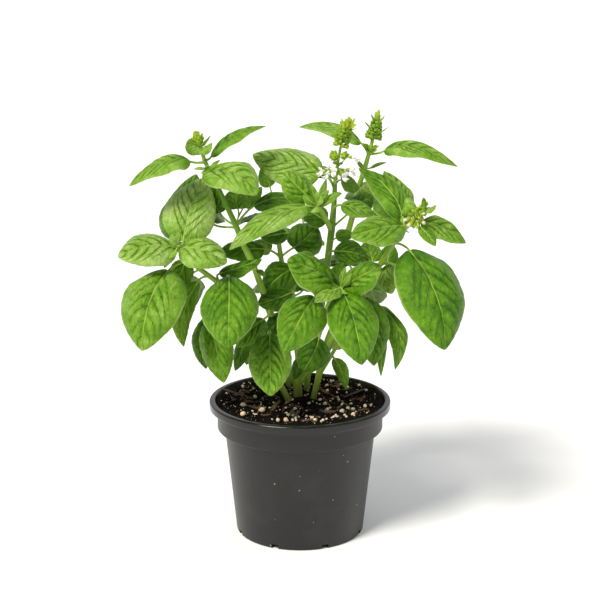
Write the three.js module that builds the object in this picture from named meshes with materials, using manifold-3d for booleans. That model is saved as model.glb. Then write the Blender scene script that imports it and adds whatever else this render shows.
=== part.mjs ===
// A basil plant in a black nursery pot, in millimetres, +Z up, origin at the middle of the pot's base.
// The viewer stands on the -Y side. Each place on the plant is written as it is seen from there:
// [across, down, near] is the point that shows at pixel (across, down) of a 600 by 600 picture
// and lies near millimetres in front of the pot's axis.
import * as THREE from "three";
import { mergeVertices } from "three/addons/utils/BufferGeometryUtils.js";
import Module from "manifold-3d";

const wasm = await Module();
wasm.setup();

// The viewer: where the eye is, how far it looks down, and its focal length in pixels.
const EYE = new THREE.Vector3(0, -1185, 502.5);
const LOOK_DOWN = THREE.MathUtils.degToRad(13.59);
const FOCAL_PIXELS = 1360;
const PICTURE_MIDDLE = 300;

// The pot: a 165 mm nursery pot with a rolled lip, a collar under it and drain slots at its foot.
const POT_HEIGHT = 124;
const LIP_RADIUS = 82.5;
const LIP_DROP = 7;
const LIP_WIDTH = 5.5;
const COLLAR_RADIUS = 75.4;
const COLLAR_FOOT = 98;
const BODY_TOP_RADIUS = 68.8;
const BASE_RADIUS = 58.7;
const WALL = 1.6;
const FLOOR = 2.4;
const CORNER = 1.6;
const POT_SIDES = 48;
const DRAIN_SLOTS = 8;
const DRAIN_WIDTH = 6;
const DRAIN_HEIGHT = 4;
const DRAIN_DEPTH = 12;
const LIP_ROUND = 1.4;
const STEP_ROUND = 1;

// The potting mix: its top lies below the lip, swells towards the stems and carries perlite and bark.
const GAP = 0.3;
const STEM_CLEARANCE = 0.4;
const SOIL_TOP = 116;
const SOIL_SWELL = 3.5;
const SOIL_BUMP = 1.1;
const SOIL_RINGS = 5;
const SOIL_SIDES = 32;
const PERLITE_GRAINS = 24;
const PERLITE_SIZES = [2.5, 5.5];
const BARK_CHIPS = 8;
const BARK_LENGTHS = [14, 24];
const BARK_WIDTH = 5;
const BARK_THICKNESS = 3;
const SUNK = 1.2;
const BARE_AROUND_STEM = 11;
const ROOT_DEPTH = 45;
const SCATTER_SEED = 41;

// The blades: thickness at the rib, and how a section rises from the rib and curls down at the edge.
const BLADE_THICKNESS = 1.5;
const BLADE_RISE = 0.3;
const BLADE_CURL = 0.5;
const OUTLINE_BASE = 0.68;
const OUTLINE_TIP = 0.9;
const BIG_STATIONS = [0.1, 0.38, 0.74];
const SMALL_STATIONS = [0.22, 0.68];
const SMALL_LEAF = 26;
const PETIOLE_RADIUS = 1;
const SMALL_PETIOLE_RADIUS = 0.7;
const PETIOLE_LEAD = 0.45;
const STEM_SIDES = 5;
const STEPS_PER_KNOT = 1.5;

// Stems, each from its root or fork to its tip: [across, down, near, radius].
const STEMS = {
  left: [
    [289, 404, -4, 2.7], [281, 385, 0, 2.6], [270, 356, 8, 2.5], [250, 318, 16, 2.4], [228, 290, 22, 2.4],
    [212, 278, 25, 2.3], [196, 266, 29, 2], [178, 250, 34, 1.5],
  ],
  main: [
    [298, 400, -20, 5], [297, 384, -20, 4.6], [289, 370, -18, 3.4], [281, 345, -14, 3.2], [272, 318, -10, 3],
    [262, 289, -6, 2.9], [252, 262, -2, 2.8], [244, 246, 0, 2.8], [236, 226, 4, 2.7], [219, 190, 8, 2.4],
    [208, 168, 10, 2], [204, 159, 10, 1.8],
  ],
  centre: [
    [297, 386, -20, 3.6], [304, 376, -22, 3.2], [311, 364, -24, 3.2], [317, 330, -22, 3.1],
    [324, 290, -16, 3.1], [329, 250, -10, 3.2], [332, 226, -8, 3], [334, 204, -8, 2.3], [335, 184, -8, 1.9],
  ],
  inner: [
    [297, 386, -20, 3], [298, 362, -26, 2.4], [293, 322, -31, 2.2], [285, 282, -34, 2.1],
    [281, 258, -34, 2.1], [278, 236, -33, 1.8], [276, 205, -31, 1.2],
  ],
  shoot: [[331, 229, -8, 2.4], [324, 216, 6, 1.9], [317, 204, 20, 1.4]],
  right: [
    [313, 401, -12, 3.2], [318, 380, -10, 3.1], [323, 362, -6, 3.1], [331, 343, 0, 3.1], [338, 333, 6, 3.1],
    [350, 313, 16, 3], [362, 294, 24, 3], [379, 266, 34, 2.9], [393, 244, 40, 2.7], [405, 229, 42, 2.2],
    [413, 221, 43, 1.8],
  ],
  rosette: [
    [320, 374, -9, 2], [331, 356, -2, 1.7], [336, 346, 6, 1.7], [341, 320, 26, 1.7], [341, 306, 36, 1.7],
    [341, 291, 46, 1.4],
  ],
  back: [
    [306, 395, -36, 3.2], [309, 370, -38, 3], [320, 330, -42, 2.9], [337, 280, -46, 2.9],
    [346, 240, -46, 2.9], [352, 218, -45, 2.8], [358, 190, -43, 2.6], [366, 164, -40, 2.4],
    [371, 146, -39, 1.8],
  ],
  rearLeft: [
    [289, 393, -46, 2.6], [287, 350, -60, 2.4], [290, 310, -74, 2.2], [296, 275, -84, 2],
    [302, 245, -92, 1.6], [304, 228, -96, 1.2],
  ],
  rearRight: [
    [316, 392, -50, 2.6], [324, 350, -60, 2.4], [340, 310, -74, 2.2], [355, 280, -84, 2],
    [364, 250, -92, 1.6], [368, 232, -96, 1.2],
  ],
};

// Which stems make up each leafy body: a branch is one body with the stem that it forks from.
const BODIES = {
  stem_left: ["left"],
  stem_main: ["main", "centre", "inner", "shoot"],
  stem_right: ["right", "rosette"],
  stem_back: ["back"],
  stem_rear_left: ["rearLeft"],
  stem_rear_right: ["rearRight"],
};

// Leaves, by the stem that bears them: what it is, the row of the picture where it leaves the stem, the
// blade's base, middle and tip, its width in millimetres, and where its upper face looks, in degrees
// to the right of the viewer and in degrees up.
const LEAVES = {
  left: [
    ["rosette far", 252, [184, 239, 34], [191, 207, 14], [204, 178, -12], 46, [5, 35]],
    ["rosette far under", 253, [178, 241, 26], [182, 206, 2], [196, 174, -28], 42, [-15, 35]],
    ["rosette left", 251, [173, 248, 40], [148, 247, 53], [118, 257, 62], 39, [-10, 48]],
    ["rosette right", 251, [182, 247, 42], [203, 252, 52], [227, 263, 56], 32, [10, 50]],
    ["rosette young low", 250, [174, 252, 46], [169, 258, 52], [164, 268, 56], 9, [-20, 45]],
    ["rosette young high", 250, [177, 246, 42], [174, 239, 44], [174, 232, 44], 10, [0, 30]],
    ["big low", 260, [169, 270, 46], [149, 304, 78], [142, 351, 92], 54, [-12, 22]],
    ["low behind", 260, [186, 260, 18], [179, 278, 22], [170, 302, 24], 22, [0, 15]],
    ["olive side", 276, [198, 281, 28], [183, 316, 44], [184, 347, 48], 24, [40, 10]],
    ["round front", 286, [229, 277, 42], [229, 309, 80], [228, 348, 96], 50, [0, 22]],
    ["over stem", 286, [219, 274, 20], [240, 267, 18], [262, 259, 12], 22, [0, 70]],
    ["hanging", 309, [210, 318, 26], [217, 352, 42], [224, 383, 48], 28, [-10, 15]],
    ["hanging behind", 311, [211, 314, 6], [202, 343, 18], [206, 369, 22], 24, [-20, 10]],
    ["low front", 345, [270, 334, 34], [270, 364, 60], [271, 396, 74], 36, [0, 20]],
    ["rear low", 270, [190, 276, 2], [172, 300, -26], [156, 330, -54], 48, [-150, 45]],
    ["rear front", 290, [228, 292, 0], [229, 308, -30], [229, 328, -60], 44, [180, 45]],
    ["rear high", 255, [181, 244, 16], [168, 246, -10], [150, 252, -36], 32, [-150, 50]],
  ],
  main: [
    ["top left", 162, [197, 162, 14], [164, 163, 24], [129, 186, 30], 37, [-20, 75]],
    ["top right", 160, [211, 157, 4], [235, 135, -4], [266, 126, -14], 27, [-20, 85]],
    ["top front", 168, [206, 174, 20], [234, 173, 36], [257, 195, 50], 34, [10, 48]],
    ["top mite left", 166, [204, 168, 14], [199, 168, 16], [194, 169, 18], 5, [0, 60]],
    ["top mite right", 164, [211, 166, 12], [215, 163, 12], [220, 160, 12], 5, [0, 60]],
    ["knee left", 227, [213, 224, -14], [200, 212, -44], [187, 197, -74], 38, [-150, 50]],
    ["knee up left", 225, [220, 213, -4], [213, 198, -12], [209, 184, -22], 22, [0, 40]],
    ["knee up", 225, [238, 209, 2], [236, 199, -6], [237, 188, -14], 26, [0, 30]],
    ["knee right", 226, [254, 206, 4], [276, 198, 8], [302, 199, 6], 22, [0, 55]],
    ["side mite", 268, [257, 270, 4], [261, 272, 8], [265, 277, 10], 6, [10, 40]],
    ["low side", 305, [264, 319, 18], [249, 331, 34], [237, 347, 46], 24, [-10, 20]],
    ["low dark", 330, [246, 338, -4], [241, 353, 2], [235, 371, 4], 16, [-20, 15]],
    ["low olive", 332, [256, 344, -2], [250, 354, 2], [246, 365, 4], 11, [0, 20]],
    ["rear knee", 225, [243, 222, -12], [262, 215, -44], [284, 213, -72], 26, [170, 60]],
    ["rear top", 170, [210, 173, -4], [226, 173, -30], [244, 178, -54], 30, [160, 55]],
  ],
  centre: [
    ["back big", 190, [321, 172, -14], [291, 161, -24], [254, 154, -32], 36, [0, 42]],
    ["back dark", 190, [341, 180, -16], [350, 182, -22], [359, 188, -26], 20, [0, 35]],
    ["knee right low", 226, [341, 203, 2], [358, 205, 6], [375, 212, 8], 18, [0, 40]],
    ["knee right dark", 228, [350, 212, -14], [361, 203, -20], [372, 195, -26], 22, [0, 35]],
    ["mid thin", 242, [336, 238, -4], [345, 234, -8], [354, 234, -12], 13, [0, 35]],
    ["mid dark", 256, [334, 251, 0], [350, 252, 8], [366, 256, 10], 24, [0, 20]],
    ["low mid", 330, [319, 338, 12], [314, 353, 22], [303, 371, 28], 32, [0, 15]],
    ["low dark", 352, [301, 358, -10], [298, 368, -7], [294, 380, -6], 12, [0, 15]],
    ["rear high", 192, [329, 178, -24], [316, 169, -50], [300, 164, -76], 36, [-160, 50]],
  ],
  inner: [
    ["left dark", 258, [264, 249, -30], [242, 249, -24], [219, 252, -16], 26, [0, 42]],
    ["left pale", 256, [271, 250, -40], [262, 246, -46], [250, 243, -50], 15, [0, 20]],
    ["top dark left", 238, [287, 233, -26], [274, 235, -20], [261, 238, -14], 18, [0, 35]],
    ["right dark", 257, [293, 248, -28], [306, 238, -34], [317, 226, -42], 35, [0, 25]],
    ["top thin", 205, [268, 186, -22], [264, 179, -22], [259, 171, -24], 12, [0, 30]],
    ["low dark", 284, [295, 268, -26], [279, 277, -18], [264, 293, -14], 31, [0, 25]],
    ["lower dark", 300, [292, 292, -20], [276, 299, -6], [258, 304, 6], 24, [0, 20]],
    ["lowest dark", 322, [288, 315, -18], [277, 323, -4], [266, 336, 4], 19, [0, 20]],
  ],
  shoot: [
    ["long left", 207, [308, 206, 34], [266, 220, 60], [229, 250, 80], 28, [-15, 52]],
    ["up left", 206, [311, 199, 24], [297, 186, 26], [284, 172, 24], 28, [-5, 42]],
    ["young right", 206, [319, 206, 26], [331, 197, 30], [343, 192, 34], 10, [0, 50]],
    ["young up", 205, [316, 202, 22], [314, 193, 22], [312, 185, 20], 8, [0, 30]],
    ["young high", 205, [319, 202, 22], [322, 193, 22], [325, 184, 20], 9, [0, 30]],
  ],
  right: [
    ["flower left", 228, [404, 225, 50], [379, 226, 64], [351, 238, 76], 34, [-8, 42]],
    ["flower right", 226, [421, 224, 42], [443, 227, 44], [466, 243, 42], 24, [15, 48]],
    ["flower small", 227, [421, 230, 50], [428, 238, 58], [435, 246, 64], 9, [10, 30]],
    ["big right", 243, [409, 250, 54], [437, 297, 82], [445, 350, 92], 57, [18, 20]],
    ["up left", 230, [402, 217, 34], [381, 191, 18], [359, 168, -4], 36, [15, 42]],
    ["up behind", 232, [405, 215, 24], [396, 192, 8], [381, 171, -16], 26, [15, 40]],
    ["up small", 229, [407, 217, 36], [409, 208, 34], [411, 199, 32], 14, [10, 30]],
    ["knee pale", 266, [387, 265, 30], [386, 280, 36], [392, 294, 38], 20, [0, 15]],
    ["knee up dark", 264, [386, 265, 8], [389, 255, 2], [392, 244, -4], 18, [0, 30]],
    ["knee up pale", 265, [373, 262, 6], [370, 252, -2], [366, 241, -12], 22, [0, 30]],
    ["low right", 294, [383, 309, 24], [400, 336, 40], [395, 370, 44], 22, [35, 15]],
    ["low behind", 296, [364, 297, 36], [372, 329, 56], [374, 366, 66], 34, [10, 20]],
    ["low thin", 300, [384, 330, 14], [382, 353, 22], [381, 377, 24], 10, [20, 10]],
    ["rear big", 262, [398, 266, 14], [420, 284, -14], [438, 314, -44], 50, [150, 40]],
    ["rear high", 232, [402, 223, 14], [393, 208, -20], [385, 194, -52], 38, [170, 50]],
    ["rear low", 300, [372, 306, 0], [384, 316, -22], [392, 338, -48], 38, [150, 40]],
  ],
  rosette: [
    ["left", 293, [338, 288, 48], [314, 272, 62], [287, 262, 68], 42, [-5, 48]],
    ["right", 293, [343, 288, 48], [361, 278, 56], [381, 267, 58], 32, [5, 50]],
    ["small low", 292, [340, 289, 56], [328, 292, 68], [315, 301, 78], 20, [-10, 48]],
    ["big low", 295, [344, 294, 56], [355, 324, 84], [362, 365, 98], 43, [5, 25]],
    ["young high", 292, [343, 286, 50], [345, 275, 52], [348, 264, 52], 12, [0, 35]],
    ["left front", 307, [315, 297, 50], [301, 318, 72], [284, 352, 88], 42, [-8, 22]],
    ["root leaf", 356, [334, 358, 2], [342, 372, 8], [346, 390, 12], 13, [-10, 20]],
  ],
  back: [
    ["top left", 155, [361, 143, -36], [333, 127, -34], [299, 127, -30], 25, [0, 68]],
    ["top right", 154, [384, 151, -36], [416, 147, -28], [458, 167, -20], 28, [10, 66]],
    ["top mite right", 165, [371, 166, -34], [379, 163, -32], [387, 162, -30], 8, [0, 60]],
    ["top mite left", 168, [364, 167, -40], [359, 163, -40], [354, 161, -40], 7, [0, 50]],
    ["young pale", 200, [359, 198, -38], [365, 190, -40], [371, 182, -44], 17, [0, 30]],
    ["rear high", 205, [357, 200, -54], [363, 192, -76], [370, 184, -96], 34, [160, 50]],
    ["rear low", 265, [338, 262, -62], [328, 261, -84], [317, 268, -104], 30, [-160, 50]],
  ],
  rearLeft: [
    ["low left", 345, [278, 343, -68], [262, 338, -90], [246, 344, -114], 42, [-160, 42]],
    ["low right", 350, [298, 347, -68], [309, 346, -90], [319, 354, -114], 38, [160, 48]],
    ["mid left", 295, [284, 290, -86], [273, 284, -106], [260, 293, -132], 44, [-160, 50]],
    ["mid right", 297, [302, 291, -86], [311, 285, -108], [321, 292, -132], 38, [160, 50]],
    ["high left", 250, [293, 240, -96], [280, 230, -114], [264, 230, -134], 38, [-160, 55]],
    ["high right", 252, [308, 246, -98], [313, 240, -112], [316, 238, -126], 24, [160, 55]],
    ["top", 232, [303, 220, -98], [300, 204, -108], [296, 190, -124], 32, [180, 50]],
  ],
  rearRight: [
    ["low right", 350, [337, 345, -66], [355, 341, -88], [374, 350, -114], 44, [160, 45]],
    ["low left", 352, [318, 362, -68], [307, 366, -90], [299, 376, -110], 28, [-160, 45]],
    ["mid left", 275, [350, 266, -92], [343, 258, -110], [334, 256, -130], 32, [-160, 55]],
    ["mid right", 290, [359, 286, -86], [369, 288, -108], [376, 304, -132], 40, [160, 50]],
    ["high right", 254, [373, 243, -96], [389, 232, -114], [404, 232, -134], 40, [160, 52]],
    ["top", 236, [372, 221, -98], [381, 206, -112], [388, 194, -128], 34, [170, 50]],
  ],
};

// Flower spikes: the stem whose tip bears it, the axis above that tip and its radius in millimetres at the
// foot. Each whorl is [share of the axis from foot to tip, how many stand around it, their length and
// width in millimetres, how many degrees they rise, how far the ring is turned]. Low whorls are open
// flowers or calyces, high ones buds, and the last is the crown of bracts.
const SPIKES = {
  spike_left: {
    stem: "main", axis: [[201, 146, 10], [199, 134, 10]], radius: 1.7,
    whorls: [
      [0.3, 4, 12, 7, 30, 10], [0.55, 4, 10, 5, 50, 50], [0.8, 4, 9, 4, 65, 10],
      [0.95, 3, 8, 4, 80, 30],
    ],
  },
  spike_centre: {
    stem: "centre", axis: [[337, 168, -8], [339, 155, -8], [343, 138, -8], [348, 119, -8]], radius: 1.5,
    whorls: [
      [0.2, 5, 13, 4.5, -5, 20], [0.48, 4, 9, 3.4, 10, 0], [0.65, 6, 9, 3.4, 15, 30],
      [0.76, 5, 8.5, 3.4, 30, 0], [0.85, 5, 8, 3.4, 40, 36], [0.94, 4, 7, 3, 60, 0], [1, 3, 6, 2.5, 70, 20],
    ],
  },
  spike_back: {
    stem: "back", axis: [[375, 130, -39], [378, 113, -39]], radius: 1.5,
    whorls: [
      [0.04, 2, 9, 4.5, 20, 0], [0.36, 5, 9.5, 4, 15, 10], [0.52, 5, 8.5, 3.6, 30, 46],
      [0.7, 4, 7, 3.4, 45, 10], [0.88, 4, 6, 3, 60, 50], [1, 2, 5, 2.6, 80, 0],
    ],
  },
  spike_right: {
    stem: "right", axis: [[420, 213, 45], [426, 204, 48]], radius: 1.6,
    whorls: [[0.1, 6, 11, 4, 5, 30], [0.35, 5, 10, 4, 25, 30], [0.6, 4, 9, 4, 40, 0], [0.9, 3, 10, 5, 60, 30]],
  },
};
const SPIKE_TAPER = 0.5;
const GRAIN_THICKNESS = 2.6;
const GRAIN_ROOT = 0.42;

const GREEN = "#7ba23c";
const PALE_GREEN = "#a6bd5c";
const POT_BLACK = "#2e3032";
const SOIL_BROWN = "#3b2e25";

// The point that shows at pixel (across, down), near millimetres in front of the pot's axis.
function seen([across, down, near]) {
  const sideways = (across - PICTURE_MIDDLE) / FOCAL_PIXELS;
  const upwards = (PICTURE_MIDDLE - down) / FOCAL_PIXELS;
  const ray = new THREE.Vector3(
    sideways,
    Math.cos(LOOK_DOWN) + upwards * Math.sin(LOOK_DOWN),
    upwards * Math.cos(LOOK_DOWN) - Math.sin(LOOK_DOWN),
  );
  return ray.multiplyScalar((-near - EYE.y) / ray.y).add(EYE);
}

// The same small random numbers every time.
function dice(seed) {
  let state = seed;
  return () => {
    state = (state * 16807) % 2147483647;
    return state / 2147483647;
  };
}

// A closed geometry becomes a solid, and a solid becomes a mesh with a name and a material.
function solid(geometry) {
  const bare = new THREE.BufferGeometry();
  bare.setAttribute("position", geometry.getAttribute("position"));
  bare.setIndex(geometry.getIndex());
  const merged = mergeVertices(bare, 1e-4);
  return new wasm.Manifold(new wasm.Mesh({
    numProp: 3,
    vertProperties: new Float32Array(merged.getAttribute("position").array),
    triVerts: new Uint32Array(merged.getIndex().array),
  }));
}
function named(name, body, color, roughness) {
  const mesh = body.getMesh();
  const geometry = new THREE.BufferGeometry();
  geometry.setAttribute("position", new THREE.BufferAttribute(new Float32Array(mesh.vertProperties), 3));
  geometry.setIndex(new THREE.BufferAttribute(new Uint32Array(mesh.triVerts), 1));
  geometry.computeVertexNormals();
  const piece = new THREE.Mesh(geometry, new THREE.MeshStandardMaterial({ color, roughness, metalness: 0 }));
  piece.name = name;
  return piece;
}
function geometryOf(points, index) {
  const geometry = new THREE.BufferGeometry();
  geometry.setAttribute("position", new THREE.Float32BufferAttribute(points.flatMap((p) => p.toArray()), 3));
  geometry.setIndex(index);
  return geometry;
}
// The outside of a lathed outline of [radius, height] pairs, turned about Z.
function lathed(outline, sides) {
  const profile = outline.map(([radius, height]) => new THREE.Vector2(radius, height));
  return new THREE.LatheGeometry(profile, sides).rotateX(Math.PI / 2);
}

// A limb along a curve, its radius given for each share of the way.
function limb(curve, radiusAt, sides, steps) {
  const points = [];
  const index = [];
  let normal = new THREE.Vector3(0, -1, 0);
  for (let i = 0; i <= steps; i += 1) {
    const t = i / steps;
    const centre = curve.getPoint(t);
    const along = curve.getTangent(t);
    normal = normal.addScaledVector(along, -normal.dot(along)).normalize();
    const side = along.clone().cross(normal);
    for (let k = 0; k < sides; k += 1) {
      const angle = (2 * Math.PI * k) / sides;
      const radius = radiusAt(t);
      points.push(centre.clone()
        .addScaledVector(normal, radius * Math.cos(angle))
        .addScaledVector(side, radius * Math.sin(angle)));
    }
  }
  const corner = (i, k) => i * sides + (k % sides);
  for (let i = 0; i < steps; i += 1) {
    for (let k = 0; k < sides; k += 1) {
      index.push(corner(i, k), corner(i, k + 1), corner(i + 1, k + 1));
      index.push(corner(i, k), corner(i + 1, k + 1), corner(i + 1, k));
    }
  }
  for (let k = 1; k < sides - 1; k += 1) {
    index.push(corner(0, 0), corner(0, k + 1), corner(0, k));
    index.push(corner(steps, 0), corner(steps, k), corner(steps, k + 1));
  }
  return geometryOf(points, index);
}

// A stem's centre line and radii. A stem that stands in the soil gets a straight root below its first knot.
const ROOTED = ["left", "main", "right", "back", "rearLeft", "rearRight"];
function stemKnots(stem) {
  const knots = STEMS[stem].map(([across, down, near, radius]) => ({
    point: seen([across, down, near]),
    radius,
  }));
  if (!ROOTED.includes(stem)) return knots;
  const { point, radius } = knots[0];
  const foot = [ROOT_DEPTH, ROOT_DEPTH / 2].map((depth) => ({
    point: point.clone().setZ(SOIL_TOP - depth),
    radius,
  }));
  return [...foot, ...knots];
}
function stemLine(stem) {
  return new THREE.CatmullRomCurve3(stemKnots(stem).map((knot) => knot.point), false, "centripetal");
}
function stemRadius(stem, extra) {
  const radii = stemKnots(stem).map((knot) => knot.radius);
  return (t) => {
    const i = Math.min(Math.floor(t * (radii.length - 1)), radii.length - 2);
    return THREE.MathUtils.lerp(radii[i], radii[i + 1], t * (radii.length - 1) - i) + extra;
  };
}
function stemSolid(stem, extra = 0) {
  const steps = Math.ceil(STEPS_PER_KNOT * (stemKnots(stem).length - 1));
  return solid(limb(stemLine(stem), stemRadius(stem, extra), STEM_SIDES, steps));
}
// The place on a stem that shows in a given row of the picture.
function nodeAt(stem, row) {
  const rows = STEMS[stem].map((knot) => knot[1]);
  const last = rows.length - 1;
  const i = Math.min(rows.filter((down) => down > row).length, last) - 1;
  const from = Math.max(i, 0);
  const share = THREE.MathUtils.clamp((rows[from] - row) / (rows[from] - rows[from + 1]), 0, 1);
  const buried = stemKnots(stem).length - STEMS[stem].length;
  return stemLine(stem).getPoint((buried + from + share) / (buried + last));
}

// A leaf's frame: the rib from base to tip, the petiole that runs into it, the way the upper face
// looks, and the side.
function leafFrame(stem, [, row, base, middle, tip, width, [turn, rise]]) {
  const from = seen(base);
  const to = seen(tip);
  const bend = seen(middle).multiplyScalar(2).addScaledVector(from, -0.5).addScaledVector(to, -0.5);
  const rib = new THREE.QuadraticBezierCurve3(from, bend, to);
  const node = nodeAt(stem, row);
  const lead = from.clone().addScaledVector(rib.getTangent(0), -PETIOLE_LEAD * node.distanceTo(from));
  const petiole = new THREE.QuadraticBezierCurve3(node, lead, from);
  const chord = to.clone().sub(from).normalize();
  const [around, up] = [turn, rise].map(THREE.MathUtils.degToRad);
  const face = new THREE.Vector3(
    Math.sin(around) * Math.cos(up),
    -Math.cos(around) * Math.cos(up),
    Math.sin(up),
  );
  face.addScaledVector(chord, -face.dot(chord)).normalize();
  return { rib, petiole, face, side: face.clone().cross(chord), width, length: from.distanceTo(to) };
}
// Half the blade's width at u along the rib: k u^p (1 - u)^q, widest at u = p / (p + q).
function halfWidth(width, u) {
  const shape = (x) => x ** OUTLINE_BASE * (1 - x) ** OUTLINE_TIP;
  return (width / 2) * (shape(u) / shape(OUTLINE_BASE / (OUTLINE_BASE + OUTLINE_TIP)));
}
// What is left of a direction once its part along another is taken away, at unit length.
function squared(direction, along) {
  return direction.clone().addScaledVector(along, -direction.dot(along)).normalize();
}
// A row of the blade: its points from the left edge over the top to the right edge and back underneath.
function bladeLoop(leaf, u, across) {
  const up = squared(leaf.face, leaf.rib.getTangent(u));
  const half = halfWidth(leaf.width, u);
  const place = (v, lift) => leaf.rib.getPoint(u)
    .addScaledVector(leaf.side, half * v)
    .addScaledVector(up, half * (BLADE_RISE * Math.abs(v) - BLADE_CURL * v * v) + lift);
  const lift = (v) => (BLADE_THICKNESS / 2) * (1 - v * v);
  const inside = across.slice(1, -1);
  const over = [-1, ...inside, 1].map((v) => place(v, lift(v)));
  const under = inside.toReversed().map((v) => place(v, -lift(v)));
  return [...over, ...under];
}
// The petiole's rings of four corners: left, top, right and bottom.
function petioleRings(leaf, radius, count) {
  let up = squared(leaf.face, leaf.rib.getTangent(0));
  const rings = [];
  for (let i = count; i >= 0; i -= 1) {
    const along = leaf.petiole.getTangent(i / count);
    up = squared(up, along);
    const side = up.clone().cross(along);
    const corners = [[-1, 0], [0, 1], [1, 0], [0, -1]];
    rings.unshift(corners.map(([x, y]) => leaf.petiole.getPoint(i / count)
      .addScaledVector(side, radius * x)
      .addScaledVector(up, radius * y)));
  }
  return rings;
}
// A leaf is one closed skin: petiole, rows of the blade and tip.
function leafSolid(stem, row) {
  const leaf = leafFrame(stem, row);
  const small = leaf.length < SMALL_LEAF;
  const stations = small ? SMALL_STATIONS : BIG_STATIONS;
  const across = small ? [-1, 0, 1] : [-1, -0.5, 0, 0.5, 1];
  const rings = petioleRings(leaf, small ? SMALL_PETIOLE_RADIUS : PETIOLE_RADIUS, small ? 2 : 3);
  const loops = stations.map((u) => bladeLoop(leaf, u, across));
  const points = [...rings.flat(), ...loops.flat(), leaf.rib.getPoint(1)];
  const index = [0, 1, 2, 0, 2, 3];
  const band = (first, second, count) => {
    for (let k = 0; k < count; k += 1) {
      const next = (k + 1) % count;
      index.push(first + k, second + next, first + next, first + k, second + k, second + next);
    }
  };
  for (let i = 1; i < rings.length; i += 1) band(4 * (i - 1), 4 * i, 4);
  const ring = 4 * (rings.length - 1);
  const blade = ring + 4;
  const around = loops[0].length;
  const perCorner = around / 4;
  for (let k = 0; k < 4; k += 1) {
    const [here, next] = [ring + k, ring + ((k + 1) % 4)];
    for (let j = 0; j < perCorner; j += 1) {
      const at = perCorner * k + j;
      index.push(here, blade + at, blade + ((at + 1) % around));
    }
    index.push(here, blade + ((perCorner * (k + 1)) % around), next);
  }
  for (let i = 1; i < loops.length; i += 1) band(blade + around * (i - 1), blade + around * i, around);
  const last = blade + around * (loops.length - 1);
  for (let k = 0; k < around; k += 1) index.push(last + k, points.length - 1, last + ((k + 1) % around));
  return solid(geometryOf(points, index));
}
function leafyBody(stems) {
  const parts = stems.flatMap((stem) => [
    stemSolid(stem),
    ...LEAVES[stem].map((row) => leafSolid(stem, row)),
  ]);
  return parts.reduce((sum, part) => sum.add(part));
}

// A bud or a bract: a long eight-sided grain lying along a direction.
function grain(foot, along, length, width, thick, facing) {
  const shape = new THREE.OctahedronGeometry(0.5).scale(width, length, thick);
  const z = squared(facing, along);
  const x = along.clone().cross(z);
  shape.applyMatrix4(new THREE.Matrix4().makeBasis(x, along, z));
  shape.translate(...foot.clone().addScaledVector(along, GRAIN_ROOT * length).toArray());
  return solid(shape);
}
// A spike: its axis, and rings of grains that stand around it.
function spike({ stem, axis, radius, whorls }) {
  const line = stemLine(stem);
  const foot = line.getPoint(1).addScaledVector(line.getTangent(1), 1.5 * GAP);
  const curve = new THREE.CatmullRomCurve3([foot, ...axis.map(seen)]);
  let body = solid(limb(curve, (t) => radius * (1 - SPIKE_TAPER * t), STEM_SIDES, 2 * axis.length));
  for (const [t, count, length, width, rise, turn] of whorls) {
    const up = curve.getTangent(t);
    const side = squared(new THREE.Vector3(1, 0, 0), up);
    const lean = THREE.MathUtils.degToRad(rise);
    for (let k = 0; k < count; k += 1) {
      const out = side.clone().applyAxisAngle(up, THREE.MathUtils.degToRad(turn + (360 * k) / count));
      const along = out.multiplyScalar(Math.cos(lean)).addScaledVector(up, Math.sin(lean));
      body = body.add(grain(curve.getPoint(t), along, length, width, GRAIN_THICKNESS, up));
    }
  }
  return body;
}

// The pot's wall is one outline turned about Z. Slots are cut through the corner at its foot.
function pot() {
  const lipFoot = POT_HEIGHT - LIP_DROP;
  const lipInside = LIP_RADIUS - LIP_WIDTH;
  const outline = [
    [0, 0], [BASE_RADIUS - CORNER, 0], [BASE_RADIUS, CORNER],
    [BODY_TOP_RADIUS, COLLAR_FOOT - STEP_ROUND], [BODY_TOP_RADIUS + STEP_ROUND, COLLAR_FOOT],
    [COLLAR_RADIUS - STEP_ROUND, COLLAR_FOOT], [COLLAR_RADIUS, COLLAR_FOOT + STEP_ROUND],
    [COLLAR_RADIUS, lipFoot], [LIP_RADIUS - STEP_ROUND, lipFoot], [LIP_RADIUS, lipFoot + STEP_ROUND],
    [LIP_RADIUS, POT_HEIGHT - LIP_ROUND], [LIP_RADIUS - LIP_ROUND, POT_HEIGHT],
    [lipInside + STEP_ROUND, POT_HEIGHT], [lipInside, POT_HEIGHT - STEP_ROUND],
    [COLLAR_RADIUS - WALL, POT_HEIGHT - LIP_WIDTH], [COLLAR_RADIUS - WALL, COLLAR_FOOT + WALL],
    [BODY_TOP_RADIUS - WALL, COLLAR_FOOT], [BASE_RADIUS - WALL, FLOOR], [0, FLOOR],
  ];
  let body = solid(lathed(outline, POT_SIDES));
  for (let i = 0; i < DRAIN_SLOTS; i += 1) {
    const slot = new THREE.BoxGeometry(DRAIN_DEPTH, DRAIN_WIDTH, 2 * DRAIN_HEIGHT);
    slot.translate(BASE_RADIUS, 0, 0).rotateZ(((i + 0.5) * 2 * Math.PI) / DRAIN_SLOTS);
    body = body.subtract(solid(slot));
  }
  return body;
}

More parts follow.
